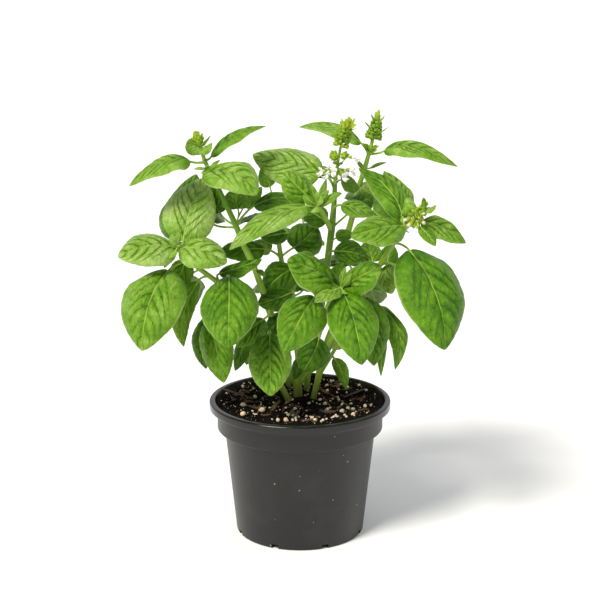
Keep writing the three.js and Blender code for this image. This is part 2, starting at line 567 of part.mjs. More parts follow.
// The soil's surface: swollen in the middle, with bumps that are products of sines.
function soilHeight(x, y) {
  const r = Math.hypot(x, y) / (COLLAR_RADIUS - WALL);
  const bumps = Math.sin(0.21 * x + 1.3) * Math.sin(0.19 * y + 0.4) + 0.6 * Math.sin(0.43 * x - 0.37 * y);
  return SOIL_TOP + SOIL_SWELL * (1 - r * r) + SOIL_BUMP * bumps * (1 - r ** 6);
}
function soil() {
  const skin = WALL + 2 * GAP;
  const wall = COLLAR_RADIUS - skin;
  const outline = [
    [0, FLOOR + GAP], [BASE_RADIUS - skin, FLOOR + GAP],
    [BODY_TOP_RADIUS - skin, COLLAR_FOOT], [wall, COLLAR_FOOT + 2 * WALL],
  ];
  for (let i = 0; i < SOIL_RINGS; i += 1) outline.push([wall * (1 - i / SOIL_RINGS), SOIL_TOP]);
  outline.push([0, SOIL_TOP]);
  const shape = lathed(outline, SOIL_SIDES);
  const place = shape.getAttribute("position");
  for (let i = 0; i < place.count; i += 1) {
    if (place.getZ(i) > SOIL_TOP - 1) place.setZ(i, soilHeight(place.getX(i), place.getY(i)));
  }
  let body = solid(shape);
  const roll = dice(SCATTER_SEED);
  const between = ([low, high]) => low + (high - low) * roll();
  const roots = ROOTED.map((stem) => stemKnots(stem)[0].point);
  const scatter = () => {
    const r = (wall - BARK_WIDTH) * Math.sqrt(roll());
    const a = 2 * Math.PI * roll();
    const [x, y] = [r * Math.cos(a), r * Math.sin(a)];
    const bare = roots.some((root) => Math.hypot(root.x - x, root.y - y) < BARE_AROUND_STEM);
    return bare ? scatter() : new THREE.Vector3(x, y, soilHeight(x, y) - SUNK);
  };
  const up = new THREE.Vector3(0, 0, 1);
  const front = new THREE.Vector3(0, -1, 0);
  for (let i = 0; i < PERLITE_GRAINS; i += 1) {
    const size = between(PERLITE_SIZES);
    body = body.add(grain(scatter(), up, size, size, size, front));
  }
  for (let i = 0; i < BARK_CHIPS; i += 1) {
    const turn = Math.PI * roll();
    const along = new THREE.Vector3(Math.cos(turn), Math.sin(turn), 0);
    body = body.add(grain(scatter(), along, between(BARK_LENGTHS), BARK_WIDTH, BARK_THICKNESS, up));
  }
  for (const stem of ROOTED) body = body.subtract(stemSolid(stem, STEM_CLEARANCE));
  return body;
}

const basil = new THREE.Group();
basil.name = "potted_basil";
basil.add(named("pot", pot(), POT_BLACK, 0.45));
basil.add(named("soil", soil(), SOIL_BROWN, 0.95));
for (const [name, stems] of Object.entries(BODIES)) basil.add(named(name, leafyBody(stems), GREEN, 0.5));
for (const [name, plan] of Object.entries(SPIKES)) basil.add(named(name, spike(plan), PALE_GREEN, 0.6));
export default basil;
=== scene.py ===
"""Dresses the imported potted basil: a lathed nursery pot, potting mix, stalks, leaf blades and flower spikes.

Each piece is built where it grows or stands, in millimetres, with +Z up and the origin at the middle of
the pot's base. The viewer stands on the -Y side.
"""
import math

import bmesh
import bpy
import numpy as np
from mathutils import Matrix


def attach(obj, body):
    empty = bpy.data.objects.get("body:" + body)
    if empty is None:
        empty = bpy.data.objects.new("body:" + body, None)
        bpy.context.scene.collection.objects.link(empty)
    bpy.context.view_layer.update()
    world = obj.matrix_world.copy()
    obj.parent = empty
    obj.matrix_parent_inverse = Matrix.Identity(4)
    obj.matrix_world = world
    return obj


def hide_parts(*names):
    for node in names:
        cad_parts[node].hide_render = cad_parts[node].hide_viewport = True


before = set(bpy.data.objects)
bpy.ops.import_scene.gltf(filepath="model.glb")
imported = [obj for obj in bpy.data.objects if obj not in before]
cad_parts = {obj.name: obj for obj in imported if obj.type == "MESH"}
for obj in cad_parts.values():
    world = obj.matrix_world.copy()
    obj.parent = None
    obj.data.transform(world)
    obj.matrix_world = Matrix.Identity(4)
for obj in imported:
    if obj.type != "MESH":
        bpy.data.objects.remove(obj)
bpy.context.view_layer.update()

# The viewer: a camera with a long lens, 1.2 metres in front of the pot and a little above the plant. What it
# sees places the plant, as [across, down, near]: the point at pixel (across, down) of a picture 600 pixels
# wide that lies near millimetres in front of the pot's axis.
MM = 0.001
EYE = np.array([0.0, -1185.0, 502.5])
LOOK_DOWN = math.radians(13.59)
FOCAL_PIXELS = 1360
PICTURE = 600
SENSOR = 36

camera_data = bpy.data.cameras.new("viewer")
camera_data.sensor_width = SENSOR
camera_data.lens = SENSOR * FOCAL_PIXELS / PICTURE
camera_data.clip_end = 200
camera = bpy.data.objects.new("viewer", camera_data)
camera.location = EYE * MM
camera.rotation_euler = (math.pi / 2 - LOOK_DOWN, 0, 0)
bpy.context.scene.collection.objects.link(camera)
bpy.context.scene.camera = camera
bpy.context.scene.view_settings.view_transform = "Standard"


# The studio: a wide matt white floor under an even white sky. One broad soft lamp stands far off, high on
# the left in front, a weaker one on the right opens the shadows, and one behind lights the far sides.
FLOOR_WHITE = "#fcfcfc"
SKY_WHITE = "#ffffff"
SKY_STRENGTH = 0.42
FLOOR_HALF = 60000
LAMPS = {
    "key": {"from": (-0.75, -0.85, 1.25), "breadth": 20, "strength": 3.4, "colour": "#fffaf0"},
    "fill": {"from": (1.3, -0.8, 0.7), "breadth": 60, "strength": 0.4, "colour": "#f6f9ff"},
    "back": {"from": (0.2, 1.0, 1.2), "breadth": 90, "strength": 0.5, "colour": "#f6f9ff"},
}


def linear(colour):
    """An sRGB hex colour as linear red, green, blue and alpha: c / 12.92, or ((c + 0.055) / 1.055) ** 2.4."""
    parts = np.array([int(colour[i : i + 2], 16) for i in (1, 3, 5)]) / 255
    low = parts / 12.92
    high = ((parts + 0.055) / 1.055) ** 2.4
    return (*np.where(parts < 0.04045, low, high).tolist(), 1.0)


def finish(name, settings):
    """A new material with its Principled shader's plain values set. Gives the material, tree and shader."""
    made = bpy.data.materials.new(name)
    made.use_nodes = True
    shader = made.node_tree.nodes["Principled BSDF"]
    for socket, value in settings.items():
        shader.inputs[socket].default_value = value
    return made, made.node_tree, shader


def filled(name, points, faces, material, marks=None, smooth=True):
    """A mesh object from arrays: points in millimetres, triangles as rows of three, marks for each point."""
    mesh = bpy.data.meshes.new(name)
    mesh.vertices.add(len(points))
    mesh.vertices.foreach_set("co", (np.asarray(points, np.float32) * MM).ravel())
    mesh.loops.add(faces.size)
    mesh.loops.foreach_set("vertex_index", faces.astype(np.int32).ravel())
    mesh.polygons.add(len(faces))
    mesh.polygons.foreach_set("loop_start", np.arange(0, faces.size, 3, dtype=np.int32))
    mesh.polygons.foreach_set("use_smooth", np.full(len(faces), smooth))
    mesh.update(calc_edges=True)
    for mark, values in (marks or {}).items():
        values = np.asarray(values, np.float32)
        if values.ndim == 2:
            layer = mesh.uv_layers.new(name=mark)
            layer.uv.foreach_set("vector", values[faces.ravel()].ravel())
        else:
            mesh.attributes.new(mark, "FLOAT", "POINT").data.foreach_set("value", values)
    mesh.materials.append(material)
    made = bpy.data.objects.new(name, mesh)
    bpy.context.scene.collection.objects.link(made)
    return made


floor_paint, _, _ = finish("white studio floor", {"Base Color": linear(FLOOR_WHITE), "Roughness": 0.9})
corners = np.array([[-1, -1, 0], [1, -1, 0], [1, 1, 0], [-1, 1, 0]]) * FLOOR_HALF
floor = filled("floor", corners, np.array([[0, 1, 2], [0, 2, 3]]), floor_paint)

sky = bpy.data.worlds.new("white sky")
sky.use_nodes = True
sky.node_tree.nodes["Background"].inputs["Color"].default_value = linear(SKY_WHITE)
sky.node_tree.nodes["Background"].inputs["Strength"].default_value = SKY_STRENGTH
bpy.context.scene.world = sky

for lamp_name, plan in LAMPS.items():
    lamp_data = bpy.data.lights.new(lamp_name, "SUN")
    lamp_data.angle = math.radians(plan["breadth"])
    lamp_data.energy = plan["strength"]
    lamp_data.color = linear(plan["colour"])[:3]
    lamp = bpy.data.objects.new(lamp_name, lamp_data)
    x, y, z = plan["from"]
    lamp.rotation_euler = (math.atan2(math.hypot(x, y), z), 0, math.atan2(x, -y))
    bpy.context.scene.collection.objects.link(lamp)


# The pot: a black nursery pot with a rolled lip, a collar to stack by and drain slots round its foot.
# It is injection-moulded polypropylene, matt from the mould, scuffed and dusted with potting mix.
POT_HEIGHT = 124
LIP_RADIUS = 82.5
LIP_DROP = 7
LIP_WIDTH = 5.5
LIP_ROUND = 1.4
RING_DROP = 2.2
RING_WIDTH = 0.8
COLLAR_RADIUS = 75.4
COLLAR_FOOT = 98
BODY_TOP_RADIUS = 68.8
BASE_RADIUS = 58.7
WALL = 1.6
FLOOR_THICKNESS = 2.4
CORNER = 1.6
STEP_ROUND = 1
POT_SIDES = 256
POT_STEP = 2.5
DRAIN_SLOTS = 8
DRAIN_WIDTH = 6
DRAIN_HEIGHT = 4
DRAIN_DEPTH = 12
POT_BLACK = "#0b0b0c"
POT_SCUFF = "#333332"
POT_DUST = "#8c8577"
WALL_ROUGHNESS = 0.39
LIP_ROUGHNESS = 0.18


def grid_faces(rows, columns, wrapped=False):
    """Triangles over a grid of points stored row by row, its last column joined to its first if wrapped."""
    cells = columns if wrapped else columns - 1
    row, column = np.meshgrid(np.arange(rows - 1), np.arange(cells), indexing="ij")
    after = (column + 1) % columns
    here, beside = row * columns + column, row * columns + after
    above, across = (row + 1) * columns + column, (row + 1) * columns + after
    first = np.stack([here, beside, across], -1).reshape(-1, 3)
    second = np.stack([here, across, above], -1).reshape(-1, 3)
    return np.concatenate([first, second])


def arc(centre, radius, start, end, steps=6):
    """Points (radius from the axis, height) round part of a circle, its angles in degrees."""
    angle = np.radians(np.linspace(start, end, steps))
    return [[centre[0] + radius * c, centre[1] + radius * s] for c, s in zip(np.cos(angle), np.sin(angle))]


def refined(profile, step):
    """A profile with points added along its straight runs, so that none is longer than step."""
    ends = np.asarray(profile, float)
    runs = [
        np.linspace(a, b, max(1, math.ceil(math.dist(a, b) / step)), endpoint=False)
        for a, b in zip(ends[:-1], ends[1:])
    ]
    return np.concatenate([*runs, ends[-1:]])


def skinned(rings, foot, head):
    """A closed skin over rings of points (count, sides, 3), with one point to close each end."""
    count, sides, _ = rings.shape
    around = np.arange(sides)
    beside = (around + 1) % sides
    last, pole = (count - 1) * sides, count * sides
    under = np.stack([np.full(sides, pole), beside, around], -1)
    over = np.stack([np.full(sides, pole + 1), last + around, last + beside], -1)
    points = np.concatenate([rings.reshape(-1, 3), [foot], [head]])
    return points, np.concatenate([grid_faces(count, sides, wrapped=True), under, over])


def turned(profile, sides):
    """A closed lathed body: each point (r, z) of the profile goes round as r cos a, r sin a, z."""
    angle = np.linspace(0, 2 * np.pi, sides, endpoint=False)
    radius, height = profile[1:-1, 0, None], profile[1:-1, 1, None]
    rings = np.stack([radius * np.cos(angle), radius * np.sin(angle), height + 0 * angle], -1)
    return skinned(rings, [0, 0, profile[0, 1]], [0, 0, profile[-1, 1]])


lip_foot = POT_HEIGHT - LIP_DROP
lip_inside = LIP_RADIUS - LIP_WIDTH
collar_inside = COLLAR_RADIUS - WALL
pot_profile = refined(
    [
        [0, 0],
        *arc((BASE_RADIUS - CORNER, CORNER), CORNER, -90, 0),
        [BODY_TOP_RADIUS, COLLAR_FOOT - STEP_ROUND],
        *arc((BODY_TOP_RADIUS + STEP_ROUND, COLLAR_FOOT - STEP_ROUND), STEP_ROUND, 180, 90, 3),
        *arc((COLLAR_RADIUS - STEP_ROUND, COLLAR_FOOT + STEP_ROUND), STEP_ROUND, -90, 0, 4),
        [COLLAR_RADIUS, lip_foot - RING_DROP],
        [COLLAR_RADIUS + RING_WIDTH, lip_foot - RING_DROP + RING_WIDTH],
        [COLLAR_RADIUS + RING_WIDTH, lip_foot],
        *arc((LIP_RADIUS - STEP_ROUND, lip_foot + STEP_ROUND), STEP_ROUND, -90, 0, 4),
        *arc((LIP_RADIUS - LIP_ROUND, POT_HEIGHT - LIP_ROUND), LIP_ROUND, 0, 90),
        *arc((lip_inside + STEP_ROUND, POT_HEIGHT - STEP_ROUND), STEP_ROUND, 90, 180, 4),
        [collar_inside, POT_HEIGHT - LIP_WIDTH],
        [collar_inside, COLLAR_FOOT + WALL],
        [BODY_TOP_RADIUS - WALL, COLLAR_FOOT],
        [BASE_RADIUS - WALL, FLOOR_THICKNESS],
        [0, FLOOR_THICKNESS],
    ],
    POT_STEP,
)
BOX_CORNERS = np.array([[x, y, z] for x in (-0.5, 0.5) for y in (-0.5, 0.5) for z in (-0.5, 0.5)])
BOX_FACES = np.array([
    [0, 1, 3], [0, 3, 2], [4, 6, 7], [4, 7, 5], [0, 4, 5], [0, 5, 1],
    [2, 3, 7], [2, 7, 6], [0, 2, 6], [0, 6, 4], [1, 5, 7], [1, 7, 3],
])


def turned_about_z(points, angle):
    """Points turned about the pot's axis: x cos a - y sin a, x sin a + y cos a, z."""
    c, s = math.cos(angle), math.sin(angle)
    return points @ np.array([[c, s, 0], [-s, c, 0], [0, 0, 1]])


def add(tree, kind, settings=None, links=None, **properties):
    """Adds a node to a tree, with its properties, its sockets' plain values and its links from others."""
    made = tree.nodes.new(kind)
    for name, value in properties.items():
        setattr(made, name, value)
    for socket, value in (settings or {}).items():
        made.inputs[socket].default_value = value
    for socket, source in (links or {}).items():
        tree.links.new(source, made.inputs[socket])
    return made


# Black polypropylene: a soft grey sheen, with paler scuffs in clouds four centimetres across.
pot_plastic, tree, shader = finish("black polypropylene, matt from the mould", {"IOR": 1.49})
place = add(tree, "ShaderNodeTexCoord").outputs["Object"]
cloud = add(tree, "ShaderNodeTexNoise", {"Scale": 24.0, "Detail": 5.0, "Roughness": 0.65}, {"Vector": place})
scuff = add(
    tree,
    "ShaderNodeMapRange",
    {"From Min": 0.5, "From Max": 0.8, "To Max": 0.35},
    {"Value": cloud.outputs["Fac"]},
)
scuffed = add(
    tree,
    "ShaderNodeMix",
    {6: linear(POT_BLACK), 7: linear(POT_SCUFF)},
    {0: scuff.outputs[0]},
    data_type="RGBA",
)
# Dust and grit: small grains stuck on here and there, each up to a millimetre and a half across.
cells = add(tree, "ShaderNodeTexVoronoi", {"Scale": 230.0}, {"Vector": place})
grain_spot = add(
    tree, "ShaderNodeMapRange", {"From Min": 0.2, "From Max": 0.14}, {"Value": cells.outputs["Distance"]}
)
few = add(tree, "ShaderNodeMath", {1: 0.84}, {0: cells.outputs["Color"]}, operation="GREATER_THAN")
grit = add(tree, "ShaderNodeMath", links={0: grain_spot.outputs[0], 1: few.outputs[0]}, operation="MULTIPLY")
gritty = add(
    tree,
    "ShaderNodeMix",
    {7: linear(POT_DUST)},
    {0: grit.outputs[0], 6: scuffed.outputs[2]},
    data_type="RGBA",
)
tree.links.new(gritty.outputs[2], shader.inputs["Base Color"])
# Moulding marks: faint upright flow lines every two millimetres, and a fine matt grain.
drawn = add(tree, "ShaderNodeMapping", {"Scale": (500, 500, 12)}, {"Vector": place})
flow = add(tree, "ShaderNodeTexNoise", {"Scale": 1.0, "Detail": 2.0}, {"Vector": drawn.outputs[0]})
grainy = add(tree, "ShaderNodeTexNoise", {"Scale": 1500.0, "Detail": 1.0}, {"Vector": place})
relief = add(
    tree,
    "ShaderNodeMath",
    {1: 0.5},
    {0: flow.outputs["Fac"], 2: grainy.outputs["Fac"]},
    operation="MULTIPLY_ADD",
)
bump = add(tree, "ShaderNodeBump", {"Strength": 0.25, "Distance": 0.0003}, {"Height": relief.outputs[0]})
tree.links.new(bump.outputs[0], shader.inputs["Normal"])
# The thick lip cools last against the polished mould, and comes out glossier than the wall: the change
# lies between 113 and 118 mm up.
height = add(tree, "ShaderNodeSeparateXYZ", links={0: place})
polish = add(
    tree,
    "ShaderNodeMapRange",
    {"From Min": 0.113, "From Max": 0.118, "To Min": WALL_ROUGHNESS, "To Max": LIP_ROUGHNESS},
    {"Value": height.outputs["Z"]},
)
tree.links.new(polish.outputs[0], shader.inputs["Roughness"])

points, faces = turned(pot_profile, POT_SIDES)
pot = filled("moulded_pot", points, faces, pot_plastic)
slots = []
for i in range(DRAIN_SLOTS):
    box = BOX_CORNERS * (DRAIN_DEPTH, DRAIN_WIDTH, 2 * DRAIN_HEIGHT) + (BASE_RADIUS, 0, 0)
    slots.append(turned_about_z(box, (i + 0.5) * 2 * math.pi / DRAIN_SLOTS))
slot_faces = np.concatenate([BOX_FACES + len(BOX_CORNERS) * i for i in range(DRAIN_SLOTS)])
cutter = filled("drain_cutter", np.concatenate(slots), slot_faces, pot_plastic, smooth=False)
cut = pot.modifiers.new("drain slots", "BOOLEAN")
cut.operation = "DIFFERENCE"
cut.solver = "EXACT"
cut.object = cutter
bpy.context.view_layer.update()
slotted = bpy.data.meshes.new_from_object(pot.evaluated_get(bpy.context.evaluated_depsgraph_get()))
# The cut leaves corners under 0.01 mm apart and many-sided faces with points in line: both are cleared up.
shell = bmesh.new()
shell.from_mesh(slotted)
bmesh.ops.remove_doubles(shell, verts=shell.verts, dist=0.00001)
bmesh.ops.triangulate(shell, faces=[face for face in shell.faces if len(face.verts) > 4])
shell.to_mesh(slotted)
shell.free()
pot.modifiers.clear()
pot.data = slotted
bpy.data.objects.remove(cutter)
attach(pot, "root")
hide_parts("pot")


# The potting mix: damp peat and bark fines, filled almost to the lip and watered down a little in the middle.
# White perlite, tan stones and bark splinters show among its crumbs.
GAP = 0.3
SOIL_TOP = 116
SOIL_SWELL = 3.5
SOIL_EDGE = 122.5
SOIL_EDGE_FROM = 0.3
SOIL_BUMP = 1.1
SOIL_RINGS = 72
SOIL_SIDES = 200
LUMPS = [(9, 0.9), (3.6, 0.8), (1.7, 0.45)]
SOIL_DARK = "#080604"
SOIL_BROWN = "#22140b"
CRUMBS = 2600
CRUMB_SIZES = (0.7, 2.2)
CRUMB_MARGIN = 1.5
PERLITE = 720
PERLITE_SIZES = (0.5, 3.2)
PERLITE_MARGIN = 2
PERLITE_CREAM = "#fbf5e6"
PERLITE_SHADE = "#bda983"
# Stones that stand out: [across, down] in the picture and size in millimetres.
STONES = [
    [243, 406, 5.4], [262, 411, 5.6], [243, 415, 5.2], [295, 410, 4.3], [325, 405, 4.6], [330, 409, 3.4],
    [286, 421, 4.6], [255, 399, 3.8], [342, 412, 4.4], [348, 409, 4.1], [353, 410, 3.6], [353, 415, 4.4],
    [309, 404, 3.3], [243, 387, 3.6], [365, 407, 3.3], [320, 401, 3.8], [331, 382, 3.6], [315, 421, 3.6],
    [323, 421, 3.1], [334, 418, 3.3], [366, 391, 3.4], [278, 421, 4.1],
]
STONE_TAN = "#d9ab62"
TAN_STONES = 6
# Splinters of bark: [across, down] of both ends, and width in millimetres.
SPLINTERS = [
    [225, 392, 252, 400, 3.6], [281, 396, 268, 414, 4.4], [322, 400, 339, 411, 1.8],
    [345, 399, 366, 389, 2.2], [330, 397, 346, 403, 1.8], [318, 389, 328, 394, 3.4],
    [332, 388, 345, 385, 3], [355, 402, 368, 396, 3.6], [235, 398, 246, 391, 2.4],
    [299, 413, 291, 419, 2.6],
]
BARK_BROWN = "#60401f"
BARK_GREY = "#57524a"
BARK_CHIPS = 70
BARK_LENGTHS = (4, 13)
BARK_MARGIN = 6
BARK_TILT = 0.07
chance = np.random.default_rng(7)
soil_wall = collar_inside - GAP
lip_slope = (lip_inside - collar_inside) / (LIP_WIDTH - STEP_ROUND)
soil_reach = soil_wall + lip_slope * (SOIL_EDGE - POT_HEIGHT + LIP_WIDTH)


def rough(points, size, seed):
    """Value noise from -1 to 1: each corner of a lattice of the given size has a value that is an integer
    hash of its place, eased between by 3t^2 - 2t^3."""
    spot = points / size
    cell = np.floor(spot).astype(np.int64)
    part = spot - cell
    ease = part * part * (3 - 2 * part)
    total = np.zeros(points.shape[:-1])
    for corner in np.ndindex(*(2,) * points.shape[-1]):
        mixed = np.full(points.shape[:-1], seed * 1013, np.int64)
        weight = np.ones(points.shape[:-1])
        for k, step in enumerate(corner):
            mixed = (mixed * 31 + (cell[..., k] + step) * (374761, 668265, 982451)[k]) & 0x7FFFFFFF
            weight = weight * (ease[..., k] if step else 1 - ease[..., k])
        mixed = (mixed ^ (mixed >> 13)) * 1274126 & 0x7FFFFFFF
        total += weight * ((mixed ^ (mixed >> 16)) % 4096 / 2047.5 - 1)
    return total


def soil_height(x, y):
    """The mix's surface: a swell 3.5 (1 - r^2) in the middle, a rise 6.5 s^2 (3 - 2s) to the edge, and bumps
    from sines that fade as 1 - r^6, with r the distance from the axis over the edge's and s how far r has
    gone past 0.3."""
    r = np.clip(np.hypot(x, y) / soil_reach, 0, 1)
    s = np.clip((r - SOIL_EDGE_FROM) / (1 - SOIL_EDGE_FROM), 0, 1)
    bumps = np.sin(0.21 * x + 1.3) * np.sin(0.19 * y + 0.4) + 0.6 * np.sin(0.43 * x - 0.37 * y)
    rise = (SOIL_EDGE - SOIL_TOP) * s * s * (3 - 2 * s)
    return SOIL_TOP + SOIL_SWELL * (1 - r**2) + rise + SOIL_BUMP * bumps * (1 - r**6)


def rays(pixels):
    """The eye's ray through each pixel (across, down): one step along Y, tilted down by LOOK_DOWN."""
    sideways = (pixels[..., 0] - PICTURE / 2) / FOCAL_PIXELS
    upwards = (PICTURE / 2 - pixels[..., 1]) / FOCAL_PIXELS
    along = math.cos(LOOK_DOWN) + upwards * math.sin(LOOK_DOWN)
    rise = upwards * math.cos(LOOK_DOWN) - math.sin(LOOK_DOWN)
    return np.stack([sideways, along, rise], axis=-1)


def on_soil(pixels):
    """Where the eye's ray through each pixel meets the mix: first as if level, then six closer guesses."""
    ray = rays(np.asarray(pixels, float))
    height = SOIL_TOP + SOIL_SWELL
    for _ in range(7):
        place = EYE + ray * ((height - EYE[2]) / ray[..., 2])[..., None]
        height = soil_height(place[..., 0], place[..., 1])
    place[..., 2] = height
    return place


def scattered(count, reach):
    """Random places on the mix: r = reach sqrt(q), so that they lie evenly over the disc."""
    r = reach * np.sqrt(chance.random(count))
    a = 2 * np.pi * chance.random(count)
    x, y = r * np.cos(a), r * np.sin(a)
    return np.stack([x, y, soil_height(x, y)], -1)


def turns(count):
    """Random rotation matrices: the Q of a random matrix's QR factors, times its own determinant."""
    turn = np.linalg.qr(chance.normal(size=(count, 3, 3)))[0]
    return turn * np.linalg.det(turn)[:, None, None]


def lump_ball(level):
    """A unit icosahedron, each triangle split in four level times and pushed out to the sphere."""
    golden = (1 + 5**0.5) / 2
    corner = np.array([[0, a, b * golden] for a in (-1, 1) for b in (-1, 1)], float)
    ball = np.concatenate([np.roll(corner, k, axis=1) for k in range(3)])
    ball /= np.linalg.norm(ball[0])
    apart = np.linalg.norm(ball[:, None] - ball, axis=-1)
    near = apart < 1.1
    faces = [
        (i, j, k)
        for i in range(12)
        for j in range(i + 1, 12)
        for k in range(j + 1, 12)
        if near[i, j] and near[j, k] and near[i, k]
    ]
    faces = np.array(faces)
    for _ in range(level):
        edges = np.sort(np.concatenate([faces[:, [0, 1]], faces[:, [1, 2]], faces[:, [2, 0]]]), axis=1)
        unique, which = np.unique(edges, axis=0, return_inverse=True)
        middle = ball[unique].mean(axis=1)
        middle /= np.linalg.norm(middle, axis=1, keepdims=True)
        ab, bc, ca = np.split(which.ravel() + len(ball), 3)
        a, b, c = faces.T
        ball = np.concatenate([ball, middle])
        quarters = ((a, ab, ca), (ab, b, bc), (ca, bc, c), (ab, bc, ca))
        faces = np.concatenate([np.stack(quarter, -1) for quarter in quarters])
    out = np.cross(ball[faces[:, 1]] - ball[faces[:, 0]], ball[faces[:, 2]] - ball[faces[:, 0]])
    inward = (out * ball[faces[:, 0]]).sum(axis=1) < 0
    faces[inward] = faces[inward][:, ::-1]
    return ball, faces


def strewn(shape, faces, places, sizes, turned_by, uneven, seed):
    """Copies of a shape: each made uneven by noise along its radius, scaled to its size, turned and set in
    its place."""
    copies = shape[None] * (1 + uneven * rough(shape[None] + 9 * places[:, None], 0.9, seed))[..., None]
    copies = np.einsum("nij,nkj->nki", turned_by, copies * sizes[:, None, :] / 2) + places[:, None]
    copied_faces = faces[None] + len(shape) * np.arange(len(places))[:, None, None]
    return copies.reshape(-1, 3), copied_faces.reshape(-1, 3)


soil_profile = refined(
    [
        [0, FLOOR_THICKNESS + GAP],
        [BASE_RADIUS - WALL - GAP, FLOOR_THICKNESS + GAP],
        [BODY_TOP_RADIUS - WALL - GAP, COLLAR_FOOT],
        [soil_wall, COLLAR_FOOT + 2 * WALL],
        [soil_wall, POT_HEIGHT - LIP_WIDTH],
    ],
    20,
)
# The top is made level with the lip, then let down to the mix's own height.
soil_top = np.stack([np.linspace(soil_reach, 0, SOIL_RINGS), np.full(SOIL_RINGS, POT_HEIGHT)], -1)
points, faces = turned(np.concatenate([soil_profile, soil_top]), SOIL_SIDES)
top = points[:, 2] == POT_HEIGHT
flat = points[top, :2]
lumps = sum(tall * rough(flat, size, k) for k, (size, tall) in enumerate(LUMPS))
inwards = 1 - (np.linalg.norm(flat, axis=1) / soil_reach) ** 12
points[top, 2] = soil_height(*flat.T) + lumps * inwards

# Damp peat: nearly black and matt, with browner fibres in grains two to three millimetres across.
damp_peat, tree, shader = finish("damp peat and bark fines", {"Roughness": 0.95, "Specular IOR Level": 0.12})
place = add(tree, "ShaderNodeTexCoord").outputs["Object"]
peat = add(tree, "ShaderNodeTexNoise", {"Scale": 420.0, "Detail": 6.0, "Roughness": 0.7}, {"Vector": place})
browned = add(
    tree, "ShaderNodeMapRange", {"From Min": 0.45, "From Max": 0.75}, {"Value": peat.outputs["Fac"]}
)
earth = add(
    tree,
    "ShaderNodeMix",
    {6: linear(SOIL_DARK), 7: linear(SOIL_BROWN)},
    {0: browned.outputs[0]},
    data_type="RGBA",
)
tree.links.new(earth.outputs[2], shader.inputs["Base Color"])
bump = add(tree, "ShaderNodeBump", {"Strength": 0.9, "Distance": 0.0008}, {"Height": peat.outputs["Fac"]})
tree.links.new(bump.outputs[0], shader.inputs["Normal"])
mix = filled("potting_mix", points, faces, damp_peat)
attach(mix, "root")
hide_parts("soil")

small_ball, small_faces = lump_ball(0)
places = scattered(CRUMBS, soil_wall - CRUMB_MARGIN)
sizes = chance.uniform(*CRUMB_SIZES, (CRUMBS, 1)) * chance.uniform(0.6, 1.2, (CRUMBS, 3))
points, faces = strewn(small_ball, small_faces, places, sizes, turns(CRUMBS), uneven=0.3, seed=11)
crumbs = filled("crumbs", points, faces, damp_peat, smooth=False)
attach(crumbs, "root")

# Perlite: puffed volcanic glass, white to cream, matt and pitted. The tan stones are grit of the same size.
# Most grains are small, which the fifth power of an even random number gives.
perlite_puff, tree, shader = finish("perlite and washed grit", {"Roughness": 0.8})
place = add(tree, "ShaderNodeTexCoord").outputs["Object"]
pits = add(tree, "ShaderNodeTexNoise", {"Scale": 900.0, "Detail": 4.0}, {"Vector": place})
stain = add(tree, "ShaderNodeAttribute", attribute_name="stain")
cream = add(
    tree,
    "ShaderNodeMix",
    {6: linear(PERLITE_SHADE), 7: linear(PERLITE_CREAM)},
    {0: pits.outputs["Fac"]},
    data_type="RGBA",
)
tanned = add(
    tree,
    "ShaderNodeMix",
    {7: linear(STONE_TAN)},
    {0: stain.outputs["Fac"], 6: cream.outputs[2]},
    data_type="RGBA",
)
tree.links.new(tanned.outputs[2], shader.inputs["Base Color"])
bump = add(tree, "ShaderNodeBump", {"Strength": 0.6, "Distance": 0.0004}, {"Height": pits.outputs["Fac"]})
tree.links.new(bump.outputs[0], shader.inputs["Normal"])
puff, puff_faces = lump_ball(1)
stones = np.array(STONES, float)
places = np.concatenate([on_soil(stones[:, :2]), scattered(PERLITE, soil_wall - PERLITE_MARGIN)])
small, large = PERLITE_SIZES
spread = small + (large - small) * chance.random(PERLITE) ** 5
sizes = np.concatenate([stones[:, 2], spread])[:, None] * chance.uniform(0.75, 1.1, (len(places), 3))
places[:, 2] += 0.25 * sizes.min(axis=1)
points, faces = strewn(puff, puff_faces, places, sizes, turns(len(places)), uneven=0.16, seed=23)
stained = chance.uniform(0, 0.75, len(places)) ** 2 + 0.25 * (np.arange(len(places)) < TAN_STONES)
perlite = filled("perlite", points, faces, perlite_puff, {"stain": np.repeat(stained, len(puff))})
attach(perlite, "root")

# Bark: torn splinters lying flat in the mix, brown where fresh and grey where weathered. Each is the lump of
# the perlite drawn out, a little longer and wider than the splinter because a lump narrows at its ends.
torn_bark, tree, shader = finish("torn pine bark", {"Roughness": 0.9, "Specular IOR Level": 0.3})
place = add(tree, "ShaderNodeTexCoord").outputs["Object"]
fibre = add(tree, "ShaderNodeTexNoise", {"Scale": 500.0, "Detail": 5.0}, {"Vector": place})
weathered = add(tree, "ShaderNodeAttribute", attribute_name="stain")
fibred = add(
    tree, "ShaderNodeMath", {1: 0.7, 2: -0.25}, {0: fibre.outputs["Fac"]}, operation="MULTIPLY_ADD"
)
aged = add(tree, "ShaderNodeMath", links={0: weathered.outputs["Fac"], 1: fibred.outputs[0]}, use_clamp=True)
bark_colour = add(
    tree,
    "ShaderNodeMix",
    {6: linear(BARK_BROWN), 7: linear(BARK_GREY)},
    {0: aged.outputs[0]},
    data_type="RGBA",
)
tree.links.new(bark_colour.outputs[2], shader.inputs["Base Color"])
bump = add(tree, "ShaderNodeBump", {"Strength": 0.8, "Distance": 0.0006}, {"Height": fibre.outputs["Fac"]})
tree.links.new(bump.outputs[0], shader.inputs["Normal"])
splinters = np.array(SPLINTERS, float)
ends = on_soil(splinters[:, :4].reshape(-1, 2)).reshape(-1, 2, 3)
loose = scattered(BARK_CHIPS, soil_wall - BARK_MARGIN)
heading = 2 * np.pi * chance.random(BARK_CHIPS)
